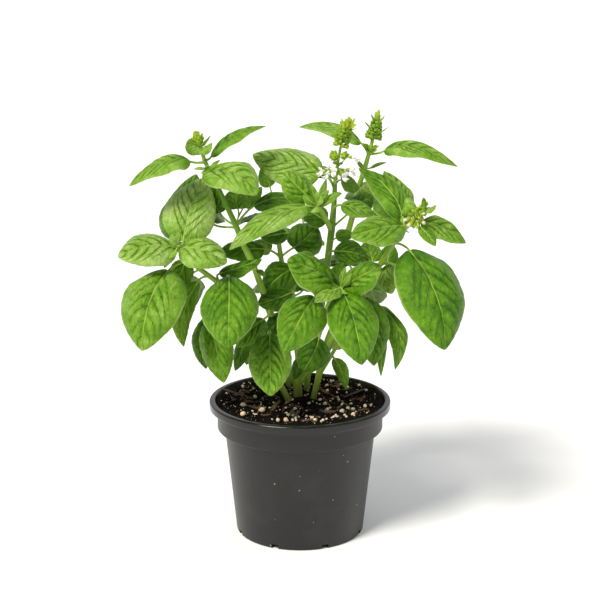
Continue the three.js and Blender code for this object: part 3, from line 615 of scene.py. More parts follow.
reach = chance.uniform(*BARK_LENGTHS, BARK_CHIPS)
heading = np.concatenate([np.arctan2(*(ends[:, 1, :2] - ends[:, 0, :2])[:, ::-1].T), heading])
length = np.concatenate([np.linalg.norm(ends[:, 1] - ends[:, 0], axis=1), reach])
width = np.concatenate([splinters[:, 4], reach * chance.uniform(0.12, 0.34, BARK_CHIPS)])
places = np.concatenate([ends.mean(axis=1), loose])
places[:, 2] = soil_height(places[:, 0], places[:, 1]) + 0.5
t = chance.normal(0, BARK_TILT, len(places))
c, s = np.cos(heading), np.sin(heading)
lay = np.array([[c, -s, -t * c], [s, c, -t * s], [t, 0 * t, 1 + 0 * t]]).transpose(2, 0, 1)
sizes = np.stack([1.15 * length, 1.2 * width, 0.55 * width + 0.4], -1)
points, faces = strewn(puff, puff_faces, places, sizes, lay, uneven=0.35, seed=31)
greyed = np.repeat(chance.random(len(places)) ** 2, len(puff))
bark = filled("bark_splinters", points, faces, torn_bark, {"stain": greyed}, smooth=False)
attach(bark, "root")


# The stalks: square green basil stems with rounded edges, faintly grooved and downy, woody and browner where
# they leave the mix. Each leaf stands on a thin stalk that flares where it grows from the stem, and runs on
# under the blade as its midrib.

# Stems: their knots from the mix upwards, each [across, down, near] as it is seen, with the radius there.
STEMS = {
    "left": [
        [289, 404, -4, 2.5], [281, 385, 0, 2.5], [270, 356, 8, 2.5], [250, 318, 16, 2.4], [228, 290, 22, 2.4],
        [212, 278, 25, 2.3], [196, 266, 29, 2], [178, 250, 34, 1.5],
    ],
    "main": [
        [298, 400, -20, 3.8], [297, 384, -20, 3.6], [289, 370, -18, 3.4],
        [281, 345, -14, 3.2], [272, 318, -10, 3],
        [262, 289, -6, 2.7], [252, 262, -2, 2.5], [244, 246, 0, 2.4], [236, 226, 4, 2.3], [219, 190, 8, 2],
        [208, 168, 10, 1.8], [204, 159, 10, 1.6],
    ],
    "centre": [
        [297, 386, -20, 2.9], [304, 376, -22, 2.9], [311, 364, -24, 2.9], [317, 330, -22, 2.8],
        [324, 290, -16, 2.8], [329, 250, -10, 2.8], [332, 226, -8, 2.7],
        [334, 204, -8, 2.2], [335, 184, -8, 1.8],
    ],
    "inner": [
        [297, 386, -20, 2.6], [298, 362, -26, 2.4], [293, 322, -31, 2.2], [285, 282, -34, 2.1],
        [281, 258, -34, 2.1], [278, 236, -33, 1.8], [276, 205, -31, 1.2],
    ],
    "shoot": [[331, 229, -8, 2.4], [324, 216, 6, 1.9], [317, 204, 20, 1.4]],
    "right": [
        [313, 401, -12, 2.5], [318, 380, -10, 2.6], [323, 362, -6, 2.7], [331, 343, 0, 2.7],
        [338, 333, 6, 2.7], [350, 313, 16, 2.6], [362, 294, 24, 2.4], [379, 266, 34, 2.2],
        [393, 244, 40, 2.1], [405, 229, 42, 1.9], [413, 221, 43, 1.6],
    ],
    "rosette": [
        [320, 374, -9, 1.6], [331, 356, -2, 1.6], [336, 346, 6, 1.7],
        [341, 320, 26, 1.7], [341, 306, 36, 1.7], [341, 291, 46, 1.4],
    ],
    "back": [
        [306, 395, -36, 2.6], [309, 370, -38, 2.5], [320, 330, -42, 2.5], [337, 280, -46, 2.6],
        [346, 240, -46, 2.6], [352, 218, -45, 2.5], [358, 190, -43, 2.2], [366, 164, -40, 1.9],
        [371, 146, -39, 1.6],
    ],
    "rearLeft": [
        [289, 393, -46, 2.6], [287, 350, -60, 2.4], [290, 310, -74, 2.2], [296, 275, -84, 2],
        [302, 245, -92, 1.6], [304, 228, -96, 1.2],
    ],
    "rearRight": [
        [316, 392, -50, 2.6], [324, 350, -60, 2.4], [340, 310, -74, 2.2], [355, 280, -84, 2],
        [364, 250, -92, 1.6], [368, 232, -96, 1.2],
    ],
}
# Which stems belong to each leafy body: the rooted one first, then those that fork from it.
BODIES = {
    "left": ["left"],
    "main": ["main", "centre", "inner", "shoot"],
    "right": ["right", "rosette"],
    "back": ["back"],
    "rear_left": ["rearLeft"],
    "rear_right": ["rearRight"],
}
# Leaves, by the stem that bears them: what it is, the row of the picture where it leaves the stem, the
# blade's base, middle and tip, its width in millimetres, where its upper face looks in degrees to the right
# of the viewer and up, and its tone from 0, deep green, to 9, the palest young leaf. The tones also carry
# painted light and shade: leaves that stand in the plant's shade are set deeper, and some that face the
# lamps paler.
LEAVES = {
    "left": [
        ["rosette far", 252, [183, 242, 34], [191, 207, 14], [204, 178, -12], 46, [5, 35], 8.2],
        ["rosette far under", 253, [178, 241, 26], [182, 206, 2], [196, 174, -28], 42, [-15, 35], 4],
        ["rosette left", 251, [176, 247.5, 40], [148, 246, 53], [118, 257, 62], 40, [-10, 48], 7.8],
        ["rosette right", 251, [180, 247.5, 42], [203, 250, 52], [227, 263, 56], 36, [10, 50], 7],
        ["rosette young low", 250, [174, 252, 46], [169, 258, 52], [164, 268, 56], 9, [-20, 45], 8],
        ["rosette young high", 250, [176, 246, 46], [178, 239, 48], [179.3, 231.5, 48], 6, [25, 30], 8],
        ["rosette young side", 250, [173.5, 247, 46], [172, 241, 49], [172, 234.5, 49], 7, [-15, 35], 7.5],
        ["rosette young front", 250, [176, 250, 50], [173, 254, 54], [169, 258.5, 57], 6, [-30, 40], 7.5],
        ["big low", 260, [169, 270, 46], [149, 304, 78], [142, 351, 92], 55.5, [-12, 22], 5.7],
        ["low behind", 260, [186, 260, 18], [179, 278, 22], [170, 302, 24], 22, [0, 15], 5],
        ["olive side", 276, [198, 281, 28], [183, 316, 44], [184, 347, 48], 24, [40, 10], 5],
        ["round front", 286, [229, 277, 42], [229, 309, 80], [228, 348, 96], 50, [0, 22], 4.2],
        ["over stem", 286, [219, 274, 20], [240, 267, 18], [262, 259, 12], 22, [0, 70], 3],
        ["hanging", 309, [210, 318, 26], [217, 352, 42], [224, 383, 48], 30, [-10, 15], 4.6],
        ["hanging behind", 311, [211, 314, 6], [202, 343, 18], [206, 369, 22], 24, [-20, 10], 3],
        ["low front", 345, [270, 334, 34], [270, 364, 60], [271, 396, 74], 38, [0, 20], 5.3],
        ["rear low", 270, [190, 276, 2], [172, 300, -26], [156, 330, -54], 48, [-150, 45], 4],
        ["rear front", 290, [228, 292, 0], [229, 308, -30], [229, 328, -60], 44, [180, 45], 4],
        ["rear high", 255, [181, 244, 16], [168, 246, -10], [150, 252, -36], 32, [-150, 50], 5],
    ],
    "main": [
        ["top left", 162, [190, 161.5, 14], [162, 163, 24], [129, 186, 30], 33, [-20, 75], 6.3],
        ["top right", 160, [211, 157, 4], [235, 135, -4], [266, 126, -14], 23, [-20, 85], 4.8],
        ["top front", 168, [204, 173, 20], [236, 173, 36], [257, 195, 50], 38, [10, 48], 6.6],
        ["top mite left", 166, [204, 168, 14], [199, 168, 16], [194, 169, 18], 5, [0, 60], 7],
        ["top mite right", 164, [211, 166, 12], [215, 163, 12], [220, 160, 12], 5, [0, 60], 7],
        ["knee left", 227, [213, 224, -14], [200, 212, -44], [187, 197, -74], 38, [-150, 50], 5],
        ["knee up left", 225, [220, 213, -4], [213, 198, -12], [209, 184, -22], 22, [0, 40], 4],
        ["knee up", 225, [238, 209, 2], [236, 199, -6], [237, 188, -14], 26, [0, 30], 5],
        ["knee up dark", 225, [244, 207, -6], [252, 197, -12], [262, 187, -18], 15, [0, 35], 3],
        ["knee right", 226, [254, 206, 4], [276, 198, 8], [302, 199, 6], 22, [0, 55], 3],
        ["side mite", 268, [257, 270, 4], [261, 272, 8], [265, 277, 10], 6, [10, 40], 6],
        ["low side", 305, [264, 319, 18], [249, 331, 34], [237, 347, 46], 24, [-10, 20], 5],
        ["low dark", 330, [246, 338, -4], [241, 353, 2], [235, 371, 4], 16, [-20, 15], 3],
        ["low olive", 332, [256, 344, -2], [250, 354, 2], [246, 365, 4], 11, [0, 20], 4],
        ["rear knee", 225, [243, 222, -12], [262, 215, -44], [284, 213, -72], 26, [170, 60], 4],
        ["rear top", 170, [210, 173, -4], [226, 173, -30], [244, 178, -54], 30, [160, 55], 5],
    ],
    "centre": [
        ["back big", 190, [321, 173, -14], [289, 163.5, -24], [252.5, 154.5, -32], 42, [0, 42], 7.6],
        ["back dark", 190, [341, 180, -16], [350, 182, -22], [359, 188, -26], 20, [0, 45], 5.5],
        ["knee right low", 226, [341, 205, 2], [358, 208, 6], [375, 215, 8], 18, [0, 40], 6],
        ["knee right dark", 228, [350, 212, -14], [361, 203, -20], [372, 195, -26], 22, [0, 35], 3],
        ["knee left dark", 227, [326, 223, -12], [315, 214, -16], [300, 210, -24], 22, [-5, 35], 3.2],
        ["mid shade", 290, [330, 288, 4], [337, 276, 12], [343, 262, 8], 17, [10, 30], 3.4],
        ["mid thin", 242, [336, 238, -4], [345, 234, -8], [354, 234, -12], 13, [0, 35], 4],
        ["mid dark", 256, [334, 251, 0], [350, 252, 8], [366, 256, 10], 23, [0, 20], 3],
        ["low mid", 330, [319, 338, 12], [314, 353, 22], [303, 371, 28], 32, [0, 15], 3.5],
        ["low dark", 352, [301, 358, -10], [298, 368, -7], [294, 380, -6], 12, [0, 15], 2],
        ["rear high", 192, [329, 178, -24], [316, 169, -50], [300, 164, -76], 36, [-160, 50], 5],
    ],
    "inner": [
        ["left dark", 258, [264, 249, -30], [242, 249, -24], [219, 252, -16], 25, [0, 42], 3.6],
        ["left pale", 256, [271, 250, -40], [262, 246, -46], [250, 243, -50], 15, [0, 20], 7],
        ["top dark left", 238, [287, 233, -26], [274, 235, -20], [261, 238, -14], 18, [0, 35], 3],
        ["right dark", 257, [293, 248, -28], [306, 238, -34], [317, 226, -42], 35, [0, 25], 3.7],
        ["top thin", 205, [270, 187, -22], [267, 178, -22], [262, 167, -24], 16, [0, 30], 5.5],
        ["low dark", 284, [295, 268, -26], [279, 277, -18], [264, 293, -14], 31, [0, 25], 3],
        ["lower dark", 300, [292, 292, -20], [276, 299, -6], [258, 304, 6], 24, [0, 20], 3],
        ["lowest dark", 322, [288, 315, -18], [277, 323, -4], [266, 336, 4], 19, [0, 20], 2],
    ],
    "shoot": [
        ["long left", 207, [308, 206, 34], [266, 220, 60], [229, 250, 80], 28, [-15, 52], 6.8],
        ["up left", 206, [311, 199, 24], [297, 186, 26], [284, 172, 24], 28, [-5, 42], 6],
        ["young right", 206, [319, 206, 30], [331, 197, 34], [342, 193, 38], 10, [0, 50], 6.5],
        ["young up", 205, [316, 202, 24], [313, 193, 24], [311, 184, 22], 8, [-20, 30], 5.5],
        ["young high", 205, [319, 202, 24], [323, 191, 24], [326.5, 178.5, 22], 7, [20, 30], 6],
        ["young left", 205, [315, 204, 30], [309, 200, 32], [303, 195, 30], 9, [-15, 45], 5],
        ["young front", 206, [319, 206, 34], [316, 209.5, 38], [311, 212, 40], 6, [-10, 50], 7],
        ["heart left", 205, [317.5, 203, 34], [316, 197, 36], [317, 191, 36], 6, [-40, 35], 6.5],
        ["heart right", 205, [320, 203, 34], [323.5, 197, 36], [329, 190, 34], 7, [35, 35], 5.5],
        ["heart low", 206, [318, 205, 36], [320.5, 201, 39], [321, 196, 40], 5, [0, 45], 7.5],
    ],
    "right": [
        ["flower left", 228, [404, 226, 50], [378, 228.5, 64], [351, 237.5, 76], 33, [-8, 42], 6],
        ["flower right", 226, [421, 223, 42], [443, 227, 44], [466, 243, 42], 26, [15, 48], 5.8],
        ["flower small", 227, [420, 227, 50], [429, 235.5, 58], [435.6, 246.2, 64], 12, [10, 30], 5],
        ["big right", 243, [409, 250, 54], [437, 297, 82], [445, 350, 92], 58, [18, 20], 3.9],
        ["up left", 230, [403, 218, 34], [388, 188.5, 18], [358.5, 168, -4], 28, [15, 42], 4.3],
        ["up behind", 232, [404, 213, 24], [398, 189.5, 8], [384, 171, -16], 26, [15, 40], 6],
        ["up small", 229, [402, 213, 34], [409, 205, 36], [418, 210, 36], 15, [5, 30], 6],
        ["knee pale", 266, [387, 265, 30], [386, 280, 40], [392, 294, 46], 19, [-30, 50], 7.4],
        ["knee up dark", 264, [386, 265, 8], [389, 255, 2], [392, 244, -4], 18, [0, 30], 3],
        ["knee up pale", 265, [373, 262, 6], [370, 252, -2], [366, 241, -12], 22, [0, 30], 6],
        ["low right", 294, [383, 309, 24], [400, 336, 40], [395, 370, 44], 22, [35, 15], 4.7],
        ["low behind", 296, [364, 297, 36], [372, 329, 56], [374, 366, 66], 34, [10, 20], 4.5],
        ["low thin", 300, [384, 330, 14], [382, 353, 22], [381, 377, 24], 10, [20, 10], 4],
        ["rear big", 262, [398, 266, 14], [420, 284, -14], [438, 314, -44], 50, [150, 40], 4],
        ["rear high", 232, [402, 223, 14], [393, 208, -20], [385, 194, -52], 38, [170, 50], 5],
        ["rear low", 300, [372, 306, 0], [384, 316, -22], [392, 338, -48], 38, [150, 40], 4],
    ],
    "rosette": [
        ["left", 293, [339, 288, 48], [313, 270, 62], [287, 261, 68], 41, [-5, 48], 5],
        ["right", 293, [341.5, 288, 48], [361, 276, 56], [381, 266, 58], 32, [5, 50], 5],
        ["small low", 292, [340, 288, 56], [329, 292, 68], [314.5, 302.5, 80], 17.5, [-10, 48], 6.5],
        ["big low", 293, [343, 292, 56], [355, 324, 84], [362, 365, 98], 43, [5, 25], 4],
        ["young high", 292, [341, 286, 54], [342.5, 276, 58], [346, 267, 58], 7, [-15, 40], 6],
        ["young side", 292, [343, 287, 54], [347, 281, 60], [352, 273, 62], 6, [20, 40], 6.5],
        ["young low", 292, [342, 289, 58], [344, 292, 62], [348, 293.5, 64], 4, [20, 45], 7],
        ["left front", 307, [315, 297, 50], [301, 318, 72], [284, 352, 88], 42, [-8, 22], 4.7],
        ["root leaf", 356, [334, 358, 2], [342, 372, 8], [346, 390, 12], 13, [-10, 20], 5.2],
    ],
    "back": [
        ["top left", 155, [361, 143, -36], [333, 127, -34], [299, 127, -30], 25, [0, 68], 7],
        ["top right", 154, [384, 151, -36], [416, 147, -28], [458, 167, -20], 28, [10, 66], 6.2],
        ["top mite right", 165, [370, 168, -34], [378, 164, -32], [387, 162.5, -30], 4.5, [0, 50], 4],
        ["top mite left", 168, [363, 168, -40], [360, 164, -40], [357, 161.5, -40], 4.5, [0, 40], 5],
        ["young pale", 200, [359, 198, -38], [365, 190, -40], [371, 182, -44], 17, [0, 30], 8],
        ["rear high", 205, [357, 200, -54], [363, 192, -76], [370, 184, -96], 34, [160, 50], 5],
        ["rear low", 265, [338, 262, -62], [328, 261, -84], [317, 268, -104], 30, [-160, 50], 5],
    ],
    "rearLeft": [
        ["low left", 345, [278, 343, -68], [262, 338, -90], [246, 344, -114], 42, [-160, 42], 4],
        ["low right", 350, [298, 347, -68], [309, 346, -90], [319, 354, -114], 38, [160, 48], 4],
        ["mid left", 295, [284, 290, -86], [273, 284, -106], [260, 293, -132], 44, [-160, 50], 4],
        ["mid right", 297, [302, 291, -86], [311, 285, -108], [321, 292, -132], 38, [160, 50], 4],
        ["high left", 250, [293, 240, -96], [280, 230, -114], [264, 230, -134], 38, [-160, 55], 5],
        ["high right", 252, [308, 246, -98], [313, 240, -112], [316, 238, -126], 24, [160, 55], 5],
        ["top", 232, [303, 220, -98], [300, 204, -108], [296, 190, -124], 32, [180, 50], 5],
    ],
    "rearRight": [
        ["low right", 350, [337, 345, -66], [355, 341, -88], [374, 350, -114], 44, [160, 45], 4],
        ["low left", 352, [318, 362, -68], [307, 366, -90], [299, 376, -110], 28, [-160, 45], 4],
        ["mid left", 275, [350, 266, -92], [343, 258, -110], [334, 256, -130], 32, [-160, 55], 4],
        ["mid right", 290, [359, 286, -86], [369, 288, -108], [376, 304, -132], 40, [160, 50], 4],
        ["high right", 254, [373, 243, -96], [389, 232, -114], [404, 232, -134], 40, [160, 52], 5],
        ["top", 236, [372, 221, -98], [381, 206, -112], [388, 194, -128], 34, [170, 50], 5],
    ],
}
PALEST = 9
TO_VIEWER = np.array([0.0, -1.0, 0.0])
ROOT_DEPTHS = (45, 22.5)
STEM_SIDES = 16
STEM_STEP = 2.2
STEM_EDGES = 0.1
STEM_GROWTH = 0.05
PETIOLE_RADIUS = 1
SMALL_PETIOLE_RADIUS = 0.7
SMALL_LEAF = 26
PETIOLE_LEAD = 0.45
PETIOLE_STEPS = 9
PETIOLE_SIDES = 8
PETIOLE_FLARE = 0.7
FLARE_LENGTH = 3
RIB_STEPS = 10
RIB_END = 0.92
RIB_TAPER = 0.75
RIB_SINK = 0.62
STEM_BROWN = "#6c782c"
STEM_GREEN = "#80ad26"
STEM_PALE = "#a2c350"
STEM_SHADE_GREEN = "#5d8a1c"
# The rows of the picture between which a stem passes into the plant's shade, painted on it as a deeper green.
SHADED_ROWS = {"main": (215, 262), "centre": (290, 350)}
PETIOLE_SHADE = 0.6


def seen(spots):
    """The point for each [across, down, near]: the eye's ray, followed to the upright plane y = -near."""
    spots = np.asarray(spots, float)
    ray = rays(spots)
    reach = (-spots[..., 2] - EYE[1]) / ray[..., 1]
    return EYE + ray * reach[..., None]


def unit(vectors):
    """The same directions at length one."""
    return vectors / np.linalg.norm(vectors, axis=-1, keepdims=True)


def squared(vectors, along):
    """What is left of each direction once its part along another is taken away, at length one."""
    return unit(vectors - along * (vectors * along).sum(axis=-1, keepdims=True))


def spline(knots, at):
    """A centripetal Catmull-Rom curve, at the knot itself where at is whole: with d the root of the distance
    between knots, the slope at a knot is (b - a) / d0 - (c - a) / (d0 + d1) + (c - b) / d1."""
    knots = np.asarray(knots, float)
    i = np.clip(np.floor(at).astype(int), 0, len(knots) - 2)
    s = (at - i)[..., None]
    run = np.concatenate([[2 * knots[0] - knots[1]], knots, [2 * knots[-1] - knots[-2]]])
    a, b, c, d = run[i], run[i + 1], run[i + 2], run[i + 3]
    d0, d1, d2 = (np.linalg.norm(q - p, axis=-1, keepdims=True) ** 0.5 for p, q in ((a, b), (b, c), (c, d)))
    leave = ((b - a) / d0 - (c - a) / (d0 + d1) + (c - b) / d1) * d1
    arrive = ((c - b) / d1 - (d - b) / (d1 + d2) + (d - c) / d2) * d1
    return b + s * (leave + s * (3 * c - 3 * b - 2 * leave - arrive + s * (2 * b - 2 * c + leave + arrive)))


def bezier(start, bend, end, t):
    """A quadratic Bezier curve and its direction: (1-t)^2 start + 2t(1-t) bend + t^2 end."""
    t = t[..., None]
    place = (1 - t) ** 2 * start + 2 * t * (1 - t) * bend + t**2 * end
    return place, unit((1 - t) * (bend - start) + t * (end - bend))


def limb(path, radii, up, sides, edges=0.0):
    """A closed tube: a section of radius r (1 + edges cos 4a) carried along a path, its up squared to the
    path step by step so that the section doesn't twist."""
    along = unit(np.gradient(path, axis=0))
    ups = np.empty_like(path)
    for i, direction in enumerate(along):
        up = squared(up, direction)
        ups[i] = up
    across = np.cross(ups, along)
    angle = np.linspace(0, 2 * np.pi, sides, endpoint=False)[:, None]
    square = 1 + edges * np.cos(4 * angle)
    out = across[:, None] * (square * np.cos(angle)) + ups[:, None] * (square * np.sin(angle))
    return skinned(path[:, None] + radii[:, None, None] * out, path[0], path[-1])


def joined(parts):
    """Bodies given as (points, faces, marks) put together as one, their faces renumbered."""
    starts = np.cumsum([0, *(len(points) for points, _, _ in parts)])
    points = np.concatenate([part[0] for part in parts])
    faces = np.concatenate([part[1] + start for part, start in zip(parts, starts)])
    marks = {name: np.concatenate([part[2][name] for part in parts]) for name in parts[0][2]}
    return points, faces, marks


def stem_knots(stem):
    """A stem's knots and radii. A rooted stem has two more straight below the first, sunk in the mix, and
    the third value is how many they are."""
    knots = np.array(STEMS[stem], float)
    places = seen(knots[:, :3])
    if stem not in [stems[0] for stems in BODIES.values()]:
        return places, knots[:, 3], 0
    root = [[*places[0, :2], SOIL_TOP - depth] for depth in ROOT_DEPTHS]
    return np.concatenate([root, places]), np.concatenate([knots[[0, 0], 3], knots[:, 3]]), len(root)


def node_at(stem, row):
    """The place on a stem that shows in a given row of the picture."""
    rows = np.array(STEMS[stem], float)[:, 1]
    places, _, buried = stem_knots(stem)
    i = max(min((rows > row).sum(), len(rows) - 1) - 1, 0)
    share = np.clip((rows[i] - row) / (rows[i] - rows[i + 1]), 0, 1)
    return spline(places, np.array(buried + i + share))


def facing(looks, chord):
    """The direction turned to the viewer's right and raised by these degrees, squared to a leaf's chord."""
    turn, rise = np.radians(looks)
    face = np.array([math.sin(turn) * math.cos(rise), -math.cos(turn) * math.cos(rise), math.sin(rise)])
    return squared(face, chord)


def leaf_frame(stem, row, base, middle, tip, looks):
    """A leaf's node, its lead-in point, the rib's three Bezier points and its face's direction."""
    start, through, end = seen([base, middle, tip])
    bend = 2 * through - (start + end) / 2
    node = node_at(stem, row)
    lead = start - unit(bend - start) * PETIOLE_LEAD * np.linalg.norm(start - node)
    return node, lead, (start, bend, end), facing(looks, unit(end - start))


def painted_shade_at(stem, row):
    """How much painted shade a stem and its leaf stalks carry at a row of the picture, from 0 to 1."""
    return np.interp(row, SHADED_ROWS.get(stem, (-1, 0)), (1, 0))


def stem_tube(stem):
    """A stem: its section carried along the spline of its knots, its radius run evenly from knot to knot."""
    places, radii, buried = stem_knots(stem)
    steps = math.ceil(np.linalg.norm(np.diff(places, axis=0), axis=1).sum() / STEM_STEP)
    at = np.linspace(0, len(places) - 1, steps)
    path = spline(places, at)
    radius = np.interp(at, np.arange(len(radii)), radii)
    radius *= 1 + STEM_GROWTH * rough(path, 9, 3)
    points, faces = limb(path, radius, TO_VIEWER, STEM_SIDES, STEM_EDGES)
    rows = np.array(STEMS[stem], float)[:, 1]
    # Painted shade: the stem is a deeper green between the rows where it passes into the plant's shade.
    deep = painted_shade_at(stem, np.interp(at - buried, np.arange(len(rows)), rows))
    deep = np.append(np.repeat(deep, STEM_SIDES), deep[[0, -1]])
    ridge = 0.4 + 0.4 * np.cos(8 * np.pi * np.arange(STEM_SIDES) / STEM_SIDES)
    pale = np.append(np.tile(ridge, steps), [0.4, 0.4])
    return points, faces, {"pale": pale, "deep": deep}


def leaf_stalk(stem, plan):
    """A leaf's stalk from its node to the blade, then its midrib under the blade, thinning to the tip."""
    _, row, base, middle, tip, _, looks, tone = plan
    node, lead, rib, face = leaf_frame(stem, row, base, middle, tip, looks)
    small = np.linalg.norm(rib[2] - rib[0]) < SMALL_LEAF
    radius = SMALL_PETIOLE_RADIUS if small else PETIOLE_RADIUS
    t = np.linspace(0, 1, PETIOLE_STEPS)
    stalk, _ = bezier(node, lead, rib[0], t)
    flare = 1 + PETIOLE_FLARE * np.exp(-((np.linalg.norm(stalk - node, axis=1) / FLARE_LENGTH) ** 2))
    u = np.linspace(0, RIB_END, RIB_STEPS + 1)[1:]
    under, direction = bezier(*rib, u)
    thin = radius * (1 - RIB_TAPER * u)
    under = under - squared(face + 0 * direction, direction) * (thin * RIB_SINK)[:, None]
    path = np.concatenate([stalk, under])
    radii = np.concatenate([radius * flare, thin])
    points, faces = limb(path[::-1], radii[::-1], face, PETIOLE_SIDES)
    # Painted shade on the stalk, weaker than on its stem.
    deep = np.full(len(points), PETIOLE_SHADE * painted_shade_at(stem, row))
    return points, faces, {"pale": np.full(len(points), 0.45 + tone / 20), "deep": deep}


# Living green bark: softly shining, paler on the four edges, streaked lengthways about every millimetre.
green_bark, tree, shader = finish("living basil stem", {"Roughness": 0.5, "Specular IOR Level": 0.28})
place = add(tree, "ShaderNodeTexCoord").outputs["Object"]
height = add(tree, "ShaderNodeSeparateXYZ", links={0: place})
# The stem darkens and browns in its lowest three centimetres, where the bark turns woody.
woody = add(
    tree,
    "ShaderNodeMapRange",
    {"From Min": 0.145, "From Max": 0.116},
    {"Value": height.outputs["Z"]},
)
streaks = add(tree, "ShaderNodeMapping", {"Scale": (900, 900, 60)}, {"Vector": place})
fibre = add(tree, "ShaderNodeTexNoise", {"Scale": 1.0, "Detail": 3.0}, {"Vector": streaks.outputs[0]})
young = add(tree, "ShaderNodeAttribute", attribute_name="pale")
greened = add(
    tree,
    "ShaderNodeMix",
    {6: linear(STEM_GREEN), 7: linear(STEM_PALE)},
    {0: young.outputs["Fac"]},
    data_type="RGBA",
)
# Painted shade: a deeper green mixed in where the stem passes into the plant's shade.
deep = add(tree, "ShaderNodeAttribute", attribute_name="deep")
shaded_green = add(
    tree,
    "ShaderNodeMix",
    {7: linear(STEM_SHADE_GREEN)},
    {0: deep.outputs["Fac"], 6: greened.outputs[2]},
    data_type="RGBA",
)
streaked = add(
    tree, "ShaderNodeMath", {1: 0.5, 2: -0.1}, {0: fibre.outputs["Fac"]}, operation="MULTIPLY_ADD"
)
browned = add(tree, "ShaderNodeMath", links={0: woody.outputs[0], 1: streaked.outputs[0]}, use_clamp=True)
stem_colour = add(
    tree,
    "ShaderNodeMix",
    {7: linear(STEM_BROWN)},
    {0: browned.outputs[0], 6: shaded_green.outputs[2]},
    data_type="RGBA",
)
tree.links.new(stem_colour.outputs[2], shader.inputs["Base Color"])
bump = add(tree, "ShaderNodeBump", {"Strength": 0.5, "Distance": 0.0004}, {"Height": fibre.outputs["Fac"]})
tree.links.new(bump.outputs[0], shader.inputs["Normal"])

for body, stems in BODIES.items():
    parts = [stem_tube(stem) for stem in stems]
    parts += [leaf_stalk(stem, plan) for stem in stems for plan in LEAVES[stem]]
    points, faces, marks = joined(parts)
    stalks = filled(f"stalks_{body}", points, faces, green_bark, marks)
    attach(stalks, "root")
    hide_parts(f"stem_{body}")


# The blades: basil leaves, thin and soft, spooned under at the edges, with four to six pairs of veins that
# arch towards the tip. The green between the veins swells into pillows, and the edge is faintly toothed.

# Each grid: its rows along the rib, its columns across, and the least length in millimetres that it is for.
BLADE_GRIDS = [(46, 23, 34), (30, 17, 20), (18, 11, 0)]
BLADE_THICKNESS = 0.5
BLADE_EDGE = 0.16
BLADE_RISE = 0.3
BLADE_CURL = 0.56
# The outline's two powers, each for a round leaf and how much it grows as the leaf gets slim.
OUTLINE_BASE = (0.45, 0.12)
OUTLINE_TIP = (0.56, 0.5)
BLADE_ENDS = (0.008, 0.997)
END_CROWDING = 0.09
RIB_CROWDING = 1.3
# The side veins: how many pairs, where the first leaves the rib, how they slant and arch, how far they stray.
VEIN_PAIRS = (4, 6)
VEIN_FIRST = 0.2
VEINED_SHARE = 0.8
VEIN_SPACING = 10.5
VEIN_SLANT = 0.34
VEIN_ARCH = 0.45
VEIN_CLOSE = 0.8
# How much tone painted shade takes off along the veins' furrows and the net of small veins.
VEIN_PAINTED_SHADE = 0.5
VEIN_STRAY = 0.05
STRAY_SIZE = 13
# The relief between the veins: it starts about two millimetres from the rib and fades to margin and tip.
PILLOW = 0.14
PILLOW_ROUND = 0.6
RELIEF_END = 0.97
RELIEF_FADE = 0.5
RIB_CLEAR = 2
TIP_SMOOTH = 0.35
CREASE_DEPTH = 0.9
CREASE_PATCHES = 0.5
RUNG_SPACING = 2.6
# How much smoother a hanging leaf and a young, pale one are, and how long and wide a grown one is.
HANGING_SMOOTH = 0.5
YOUNG_SMOOTH = 0.35
YOUNG_TONE = 6
GROWN_LENGTH = 32
GROWN_WIDTH = 24
CLOUDING = 0.6
MOTTLING = 0.9
PATCH_SIZE = 16
# Painted shade near a blade's base: how much tone it takes off and how far along the rib it reaches.
BASE_PAINTED_SHADE = 0.2
BASE_PAINTED_SHADE_REACH = 0.16
RIB_GROOVE = 0.4
RIB_GROOVE_WIDTH = 1.3
RIB_GROOVE_FADE = 0.7
RIB_NARROWING = 1.25
WAVE = 0.065
WAVES = 2.2
LUMP = 0.055
LUMP_SIZE = 11
TEETH_ROWS = 4
TOOTH = 0.5
TOOTHED_HALF = 8
TOOTHED_WIDTH = 20
EDGE_POWER = 10
TONE_SPREAD = 0.03
LEAF_TONES = {
    0.0: "#204800", 0.3: "#407602", 0.5: "#60930e", 0.7: "#82ae38", 0.85: "#9ec25e", 1.0: "#b8d17c",
}
LEAF_RIB = "#b4cf7c"
LEAF_UNDERSIDE = "#93ad68"
LEAF_GLOW = "#a6d430"
LEAF_SHEEN = "#e6f0b6"
PALE_LINES = 0.42
PALE_UNDERSIDE = 0.62
TRANSLUCENCE = 0.18


def half_width(width, length, u):
    """Half the blade's width at u along the rib: k u^p (1 - u)^q, widest at u = p / (p + q). Both powers
    grow with how slim the leaf is, 1 - width / length."""
    slim = np.clip(1 - width / length, 0, 0.8)
    p, q = (plump + more * slim for plump, more in (OUTLINE_BASE, OUTLINE_TIP))
    widest = p / (p + q)
    return width / 2 * (u / widest) ** p * ((1 - u) / (1 - widest)) ** q


def two_faced(middle, offset):
    """A thin closed skin: a grid of points moved up and down by its offset, and a rim that joins the two."""
    rows, columns, _ = middle.shape
    points = np.concatenate([(middle + offset).reshape(-1, 3), (middle - offset).reshape(-1, 3)])
    lower = grid_faces(rows, columns)
    grid = np.arange(rows * columns).reshape(rows, columns)
    loop = np.concatenate([grid[0, :-1], grid[:-1, -1], grid[-1, :0:-1], grid[:0:-1, 0]])
    after = np.roll(loop, -1)
    under = rows * columns
    rim = [np.stack([loop, after, after + under], -1), np.stack([loop, after + under, loop + under], -1)]
    return points, np.concatenate([lower[:, ::-1], lower + under, *rim]), 2 * len(lower)


